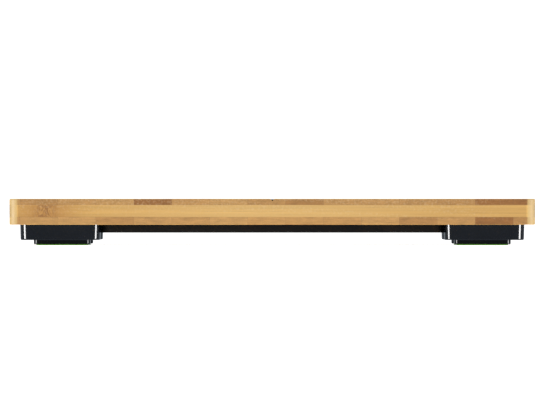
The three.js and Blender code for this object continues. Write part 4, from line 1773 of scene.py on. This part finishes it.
@dataclass
class Base:
    """The tray, its label, the battery door and the battery inside."""

    tray_ease: float = 0.35
    door_ease: float = 0.22
    cup_ease: float = 0.18
    leaf_ease: float = 0.06
    label_corner: float = 1.5
    label_ease: float = 0.05
    plus_arm: float = 1.6
    plus_half: float = 0.28
    plus_depth: float = 0.06
    plus_offset: float = 5.0

    def build(self) -> None:
        """Builds every piece of the base."""
        tray = Workpiece.copied("base_moulding", "base_tray")
        tray.soften(self.tray_ease, 3, 50).smooth(40).dress(TRAY_BLACK, Body.FRAME, "base_tray")
        door = Workpiece.copied("battery_cover", "battery_door")
        door.soften(self.door_ease, 3, 50).smooth(40).dress(TRAY_BLACK, Body.DOOR, "battery_door")
        self.build_label()
        self.build_battery()
        leads = [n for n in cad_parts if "lead_" in n or n.endswith("_lead")]
        for node in leads:
            dress_node(node, LEAD_SLEEVE)

    def build_label(self) -> None:
        """Shapes the thin label film."""
        box = Box.of("rating_label")
        film = LabelFilm("label_film", "label_paper", centre=tuple(box.centre))
        work = rounded_block("label_sheet", box.low, box.high, self.label_corner, 6)
        work.bevel(rim_at(box.low.z), self.label_ease, 2)
        work.smooth().dress(film, Body.FRAME, "rating_label")

    def build_battery(self) -> None:
        """Turns the coin cell and shapes its cup and contacts."""
        box = Box.of("coin_cell")
        c = box.centre
        can = Metal("cell_can", "cell_steel", (0.60, 0.61, 0.62), 0.24, Brush.ROUND, tuple(c))
        r = box.size.x / 2
        profile = [
            (r - inset, height)
            for inset, height in (
                (1.2, 0.0), (0.5, 0.02), (0.18, 0.12), (0.02, 0.32), (0.01, 2.35), (0.1, 2.5),
                (0.3, 2.6), (0.95, 2.6), (1.1, 2.5), (1.2, 2.6), (1.35, 3.05), (1.6, 3.2),
            )
        ]
        cell = Workpiece.turned("coin_battery", profile, (c.x, c.y, box.low.z), 72)
        arm, half, y = self.plus_arm, self.plus_half, c.y + self.plus_offset
        for along, wide in ((arm, half), (half, arm)):
            low = (c.x - along, y - wide, box.low.z - 0.5)
            high = (c.x + along, y + wide, box.low.z + self.plus_depth)
            cell.cut(Workpiece.block("plus_tool", low, high))
        cell.smooth(30).dress(can, Body.FRAME, "coin_cell")
        cup = Workpiece.copied("battery_cup", "battery_holder")
        cup.soften(self.cup_ease, 2, 50).smooth(40).dress(SWITCH_BLACK, Body.FRAME, "battery_holder")
        for node in ("battery_contact_positive", "battery_contact_negative"):
            leaf = Workpiece.copied(f"{node}_leaf", node)
            leaf.soften(self.leaf_ease, 2, 25).smooth(50).dress(CONTACT_METAL, Body.FRAME, node)


# ---------------------------------------------------------------- the feet


@dataclass
class Feet:
    """The four corners: a gloss housing, the sprung shoe below it and its rubber pad at each."""

    first: Corner = Corner.FRONT_LEFT
    radius: float = 6.0
    draft: float = 0.4
    ease: float = 0.6
    wall: float = 1.8
    floor: float = 1.6
    shoe_side: float = 26.9
    shoe_corner: float = 3.2
    shoe_gap: float = 0.6
    shoe_ease: float = 0.45
    hole_ease: float = 0.12
    nest_gap: float = 0.1
    pad_corner: float = 2.2
    tab_half: float = 7.0
    boss: float = 2.5
    head_hole: float = 1.95
    head_sink: float = 0.4
    head_thick: float = 1.4
    notch: tuple[float, float] = (3.6, 2.05)
    lead_radius: float = 0.85
    tread: int = 6
    tread_groove: tuple[float, float] = (0.6, 0.22)

    def build(self) -> None:
        """Shapes the first corner's pieces and mirrors copies of them to the others."""
        self.shell = self.box("foot_housing")
        self.shoe = self.box("foot_shoe")
        masters = (
            ("foot_housing", "housing", self.shape_housing(), GLOSS_BLACK, 35.0),
            ("foot_shoe", "shoe", self.shape_shoe(), SHOE_BLACK, 35.0),
            ("foot_pad", "pad", self.shape_pad(), GREEN_RUBBER, 30.0),
        )
        for node, name, master, finish, angle in masters:
            for corner in reversed(Corner):
                body = Body.FRAME if node == "foot_housing" else corner.body
                work = self.placed(master, node, corner).named(f"{name}_{corner.label}")
                work.smooth(angle).dress(finish, body, f"{node}_{corner.label}")
        for corner in Corner:
            dress_node(f"cell_carrier_{corner.label}", TRAY_BLACK)
            dress_node(f"load_cell_{corner.label}", GAUGE_STEEL)

    def box(self, node: str) -> Box:
        """Returns the box of the first corner's node."""
        return Box.of(f"{node}_{self.first.label}")

    def placed(self, master: Workpiece, node: str, corner: Corner) -> Workpiece:
        """Copies the first corner's piece to another corner.

        Args:
            master: The first corner's piece.
            node: The start of its node's name.
            corner: The corner to fill.

        Returns:
            The copy, or the piece itself at the first corner.
        """
        if corner is self.first:
            return master
        here, there = self.box(node).centre, Box.of(f"{node}_{corner.label}").centre
        signs = tuple(a * b for a, b in zip(self.first.signs, corner.signs))
        return master.twin(node).mirror(signs, tuple(here)).shift(tuple(there - here))

    def shape_housing(self) -> Workpiece:
        """Shapes the drafted housing, hollows it and cuts its openings.

        Returns:
            The housing.
        """
        low, high = self.shell.low, self.shell.high
        c = self.shell.centre
        side = self.shell.size.x
        work = Workpiece.block("housing", low, high)
        shrink = 1 - self.draft / side
        work.resize_faces(lambda p, n: n.z < -0.9, (shrink, shrink, 1), (c.x, c.y, low.z))
        work.bevel(lambda a, b: abs(a.z - b.z) > 1, self.radius, 14)
        work.bevel(rim_at(low.z), self.ease, 4)
        floor_top = low.z + self.floor
        work.cut(self.room("cavity_tool", self.wall, floor_top, high.z + 1))
        work.weld(*self.bosses(floor_top, high.z))
        half = self.shoe_side / 2 + self.shoe_gap
        s = self.shoe.centre
        hole = rounded_block(
            "shoe_tool",
            (s.x - half, s.y - half, low.z - 1),
            (s.x + half, s.y + half, floor_top + 0.1),
            self.shoe_corner + self.shoe_gap,
            8,
        )
        work.cut(hole, self.lead_notch(), *self.screw_bores())
        return work.bevel(self.hole_rim(s, half, low.z), self.hole_ease, 2)

    def room(self, name: str, inset: float, bottom: float, top: float) -> Workpiece:
        """Makes a block that follows the housing's outline, some way inside it.

        Args:
            name: The block's name.
            inset: How far inside, in mm.
            bottom: The height of its lower end, in mm.
            top: The height of its upper end, in mm.

        Returns:
            The block.
        """
        c = self.shell.centre
        half = self.shell.size.x / 2 - inset
        low, high = (c.x - half, c.y - half, bottom), (c.x + half, c.y + half, top)
        return rounded_block(name, low, high, self.radius - inset, 8)

    def hole_rim(self, centre: Vector, half: float, level: float) -> EdgeRule:
        """Makes a rule for the rim of the shoe's opening.

        Args:
            centre: The opening's middle, in mm.
            half: Half its side, in mm.
            level: Its height, in mm.

        Returns:
            The rule.
        """

        def rule(a: Vector, b: Vector) -> bool:
            """Accepts an edge of that rim."""
            inside = all(max(abs(p.x - centre.x), abs(p.y - centre.y)) < half + 0.05 for p in (a, b))
            return inside and rim_at(level)(a, b)

        return rule

    def screws(self) -> list[Box]:
        """Returns the boxes of the first corner's two screws."""
        return [Box.of(f"housing_screw_{self.first.label}_{i}") for i in (1, 2)]

    def bosses(self, floor_top: float, top: float) -> list[Workpiece]:
        """Makes the screw bosses, trimmed to stay inside the walls.

        Args:
            floor_top: The height of the housing's floor, in mm.
            top: The height of its rim, in mm.

        Returns:
            The bosses.
        """
        made = []
        for screw in self.screws():
            foot = (screw.centre.x, screw.centre.y, floor_top - 0.5)
            post = Workpiece.rod("post", self.boss, foot, top - floor_top + 0.5, 32)
            made.append(post.keep(self.room("room", self.wall / 2, floor_top - 1, top + 1)))
        return made

    def screw_bores(self) -> list[Workpiece]:
        """Makes the cutters for the screws' heads and shanks.

        Returns:
            The cutters.
        """
        made = []
        low = self.shell.low.z
        for screw in self.screws():
            c = screw.centre
            deep = self.head_sink + self.head_thick + 1
            made.append(Workpiece.rod("head_tool", self.head_hole, (c.x, c.y, low - 1), deep, 28))
            shank = screw.size.x / 4 + 0.3
            made.append(Workpiece.rod("shank_tool", shank, (c.x, c.y, low), self.shell.size.z + 1, 16))
        return made

    def lead_notch(self) -> Workpiece:
        """Makes the cutter for the lead's way out through the inboard wall.

        Returns:
            The cutter.
        """
        sx, sy = self.first.signs
        lead = self.box("cell_lead")
        outer = lead.low.y if sy < 0 else lead.high.y
        middle = outer - sy * self.lead_radius
        half = self.shell.size.x / 2
        xs = sorted(self.shell.centre.x - sx * (half + step) for step in (1, -self.wall - 1))
        top = self.shell.high.z
        wide, deep = self.notch
        low = (xs[0], middle - wide / 2, top - deep)
        return Workpiece.block("notch_tool", low, (xs[1], middle + wide / 2, top + 1))

    def shape_shoe(self) -> Workpiece:
        """Shapes the shoe with its rounded rim, retaining tabs and boss.

        Returns:
            The shoe.
        """
        c = self.shoe.centre
        low, top = self.shoe.low.z, self.shoe.high.z - 0.7
        half = self.shoe_side / 2
        work = rounded_block(
            "shoe", (c.x - half, c.y - half, low), (c.x + half, c.y + half, top), self.shoe_corner, 10
        )
        work.bevel(rim_at(low), self.shoe_ease, 3)
        reach, wide = self.shoe.size.x / 2, self.tab_half
        tabs = [
            rounded_block("tab", (c.x - x, c.y - y, top - 1), (c.x + x, c.y + y, top), 0.8, 3)
            for x, y in ((reach, wide), (wide, reach))
        ]
        profile = [(4.0, -0.5), (4.0, 0.4), (3.8, 0.6), (3.5, 0.7)]
        button = Workpiece.turned("boss", profile, (c.x, c.y, top), 40)
        work.weld(*tabs, button)
        pad = self.box("foot_pad")
        outline = pad.grown(self.nest_gap, low - 1, pad.high.z)
        return work.cut(rounded_block("nest_tool", *outline, self.pad_corner + self.nest_gap, 6))

    def shape_pad(self) -> Workpiece:
        """Shapes the rubber pad with a waffle tread underneath.

        Returns:
            The pad.
        """
        box = self.box("foot_pad")
        work = rounded_block("pad", box.low, box.high, self.pad_corner, 6)
        work.bevel(rim_at(box.low.z), 0.12, 2)
        c = box.centre
        reach = box.size.x / 2 - 1.6
        half, deep = self.tread_groove[0] / 2, self.tread_groove[1]
        low, high = box.low.z - 1, box.low.z + deep
        for i in range(1, self.tread):
            at = -reach + i * 2 * reach / self.tread
            for x, y, wide, long in ((at, 0, half, reach), (0, at, reach, half)):
                start = (c.x + x - wide, c.y + y - long, low)
                work.cut(Workpiece.block("tread_tool", start, (c.x + x + wide, c.y + y + long, high)))
        return work


# ---------------------------------------------------------------- the studio


@dataclass
class Studio:
    """A pale floor, soft light and a camera level with the platform."""

    distance: float = 9.0
    view_width: float = 0.2591
    eye: float = 0.0194
    floor_side: float = 60.0
    backdrop: float = 1.15
    sky: float = 0.78
    sky_mirrored: float = 0.34
    floor_glow: float = 0.55
    strip_reach: float = 1.3
    strip_angle: float = 78.0
    strip_size: tuple[float, float] = (0.34, 0.6)
    strip_level: float = -0.05
    strip_power: float = 14.8
    overhead_place: Point = (0, -0.25, 1.6)
    overhead_size: tuple[float, float] = (1.6, 1.2)
    overhead_power: float = 4.0
    sensor: float = 36.0

    def build(self) -> None:
        """Sets up the stage."""
        self.build_floor()
        self.build_sky()
        self.build_lights()
        self.build_camera()

    def build_floor(self) -> None:
        """Lays a plain pale floor under the feet."""
        clear_selection()
        bpy.ops.mesh.primitive_plane_add(size=self.floor_side, location=(0, 0, 0))
        floor = bpy.context.view_layer.objects.active
        floor.name = "studio_floor"
        pale = bpy.data.materials.new("studio_floor")
        pale.use_nodes = True
        g = Graph(pale.node_tree)
        shader = pale.node_tree.nodes["Principled BSDF"]
        under = g.node("ShaderNodeNewGeometry").outputs["Backfacing"]
        open_below = g.node("ShaderNodeBsdfTransparent").outputs[0]
        both = g.node("ShaderNodeMixShader", {0: under, 1: shader.outputs[0], 2: open_below}).outputs[0]
        g.tree.links.new(both, pale.node_tree.nodes["Material Output"].inputs["Surface"])
        shader.inputs["Base Color"].default_value = (0.93, 0.93, 0.93, 1)
        shader.inputs["Roughness"].default_value = 1.0
        shader.inputs["Specular IOR Level"].default_value = 0.0
        shader.inputs["Emission Color"].default_value = (1, 1, 1, 1)
        shader.inputs["Emission Strength"].default_value = self.floor_glow
        floor.data.materials.append(pale)
        floor.visible_glossy = False
        floor.visible_shadow = False

    def build_sky(self) -> None:
        """Lights the scene softly from all round, with a white backdrop."""
        world = bpy.data.worlds.new("studio_sky")
        bpy.context.scene.world = world
        world.use_nodes = True
        world.node_tree.nodes.clear()
        g = Graph(world.node_tree)
        rays = g.node("ShaderNodeLightPath").outputs
        white, cool = (1, 1, 1, 1), (0.80, 0.90, 1.0, 1)
        plain, soft, dim = (
            g.node("ShaderNodeBackground", {"Color": color, "Strength": strength}).outputs[0]
            for color, strength in ((white, self.backdrop), (white, self.sky), (cool, self.sky_mirrored))
        )
        seen = g.node("ShaderNodeMixShader", {0: rays["Is Glossy Ray"], 1: soft, 2: dim}).outputs[0]
        mixed = g.node("ShaderNodeMixShader", {0: rays["Is Camera Ray"], 1: seen, 2: plain}).outputs[0]
        g.node("ShaderNodeOutputWorld", {"Surface": mixed})

    def add_panel(
        self, name: str, place: Point, aim: Point, size: tuple[float, float], power: float
    ) -> bpy.types.Object:
        """Hangs a soft panel light that looks at a point.

        Args:
            name: The light's name.
            place: Where it hangs, in metres.
            aim: The point that it faces.
            size: Its width and height, in metres.
            power: Its power in watts.

        Returns:
            The light.
        """
        lamp = bpy.data.lights.new(name, "AREA")
        lamp.shape = "RECTANGLE"
        lamp.size, lamp.size_y = size
        lamp.energy = power
        holder = bpy.data.objects.new(name, lamp)
        bpy.context.scene.collection.objects.link(holder)
        holder.location = place
        holder.rotation_euler = (Vector(aim) - Vector(place)).to_track_quat("-Z", "Y").to_euler()
        holder.visible_camera = False
        return holder

    def build_lights(self) -> None:
        """Hangs two upright strips at the sides and a broad panel above."""
        reach, angle = self.strip_reach, math.radians(self.strip_angle)
        for name, side in (("strip_left", -1), ("strip_right", 1)):
            place = (side * reach * math.sin(angle), -reach * math.cos(angle), self.strip_level)
            strip = self.add_panel(name, place, (0, 0, self.strip_level), self.strip_size, self.strip_power)
            strip.visible_diffuse = False
        self.add_panel("overhead", self.overhead_place, (0, 0, 0), self.overhead_size, self.overhead_power)

    def build_camera(self) -> None:
        """Places a long-lens camera level with the upper part of the platform."""
        lens = bpy.data.cameras.new("camera")
        camera = bpy.data.objects.new("camera", lens)
        bpy.context.scene.collection.objects.link(camera)
        lens.sensor_width = self.sensor
        lens.lens = self.sensor * self.distance / self.view_width
        lens.clip_start, lens.clip_end = 0.5, 200.0
        camera.location = (0.0001, -self.distance - 0.09, self.eye)
        camera.rotation_euler = (math.radians(90), 0, 0)
        bpy.context.scene.camera = camera
        bpy.context.scene.view_settings.view_transform = "Standard"
        bpy.context.scene.view_settings.look = "None"


def main() -> None:
    """Builds the scale, piece by piece, and sets it in the studio."""
    logging.basicConfig(level=logging.INFO, format="%(name)s: %(message)s")
    Studio().build()
    Platform().build()
    ControlPanel().build()
    Screws().build()
    Base().build()
    Feet().build()
    clear_selection()


if __name__ == "__main__":
    main()
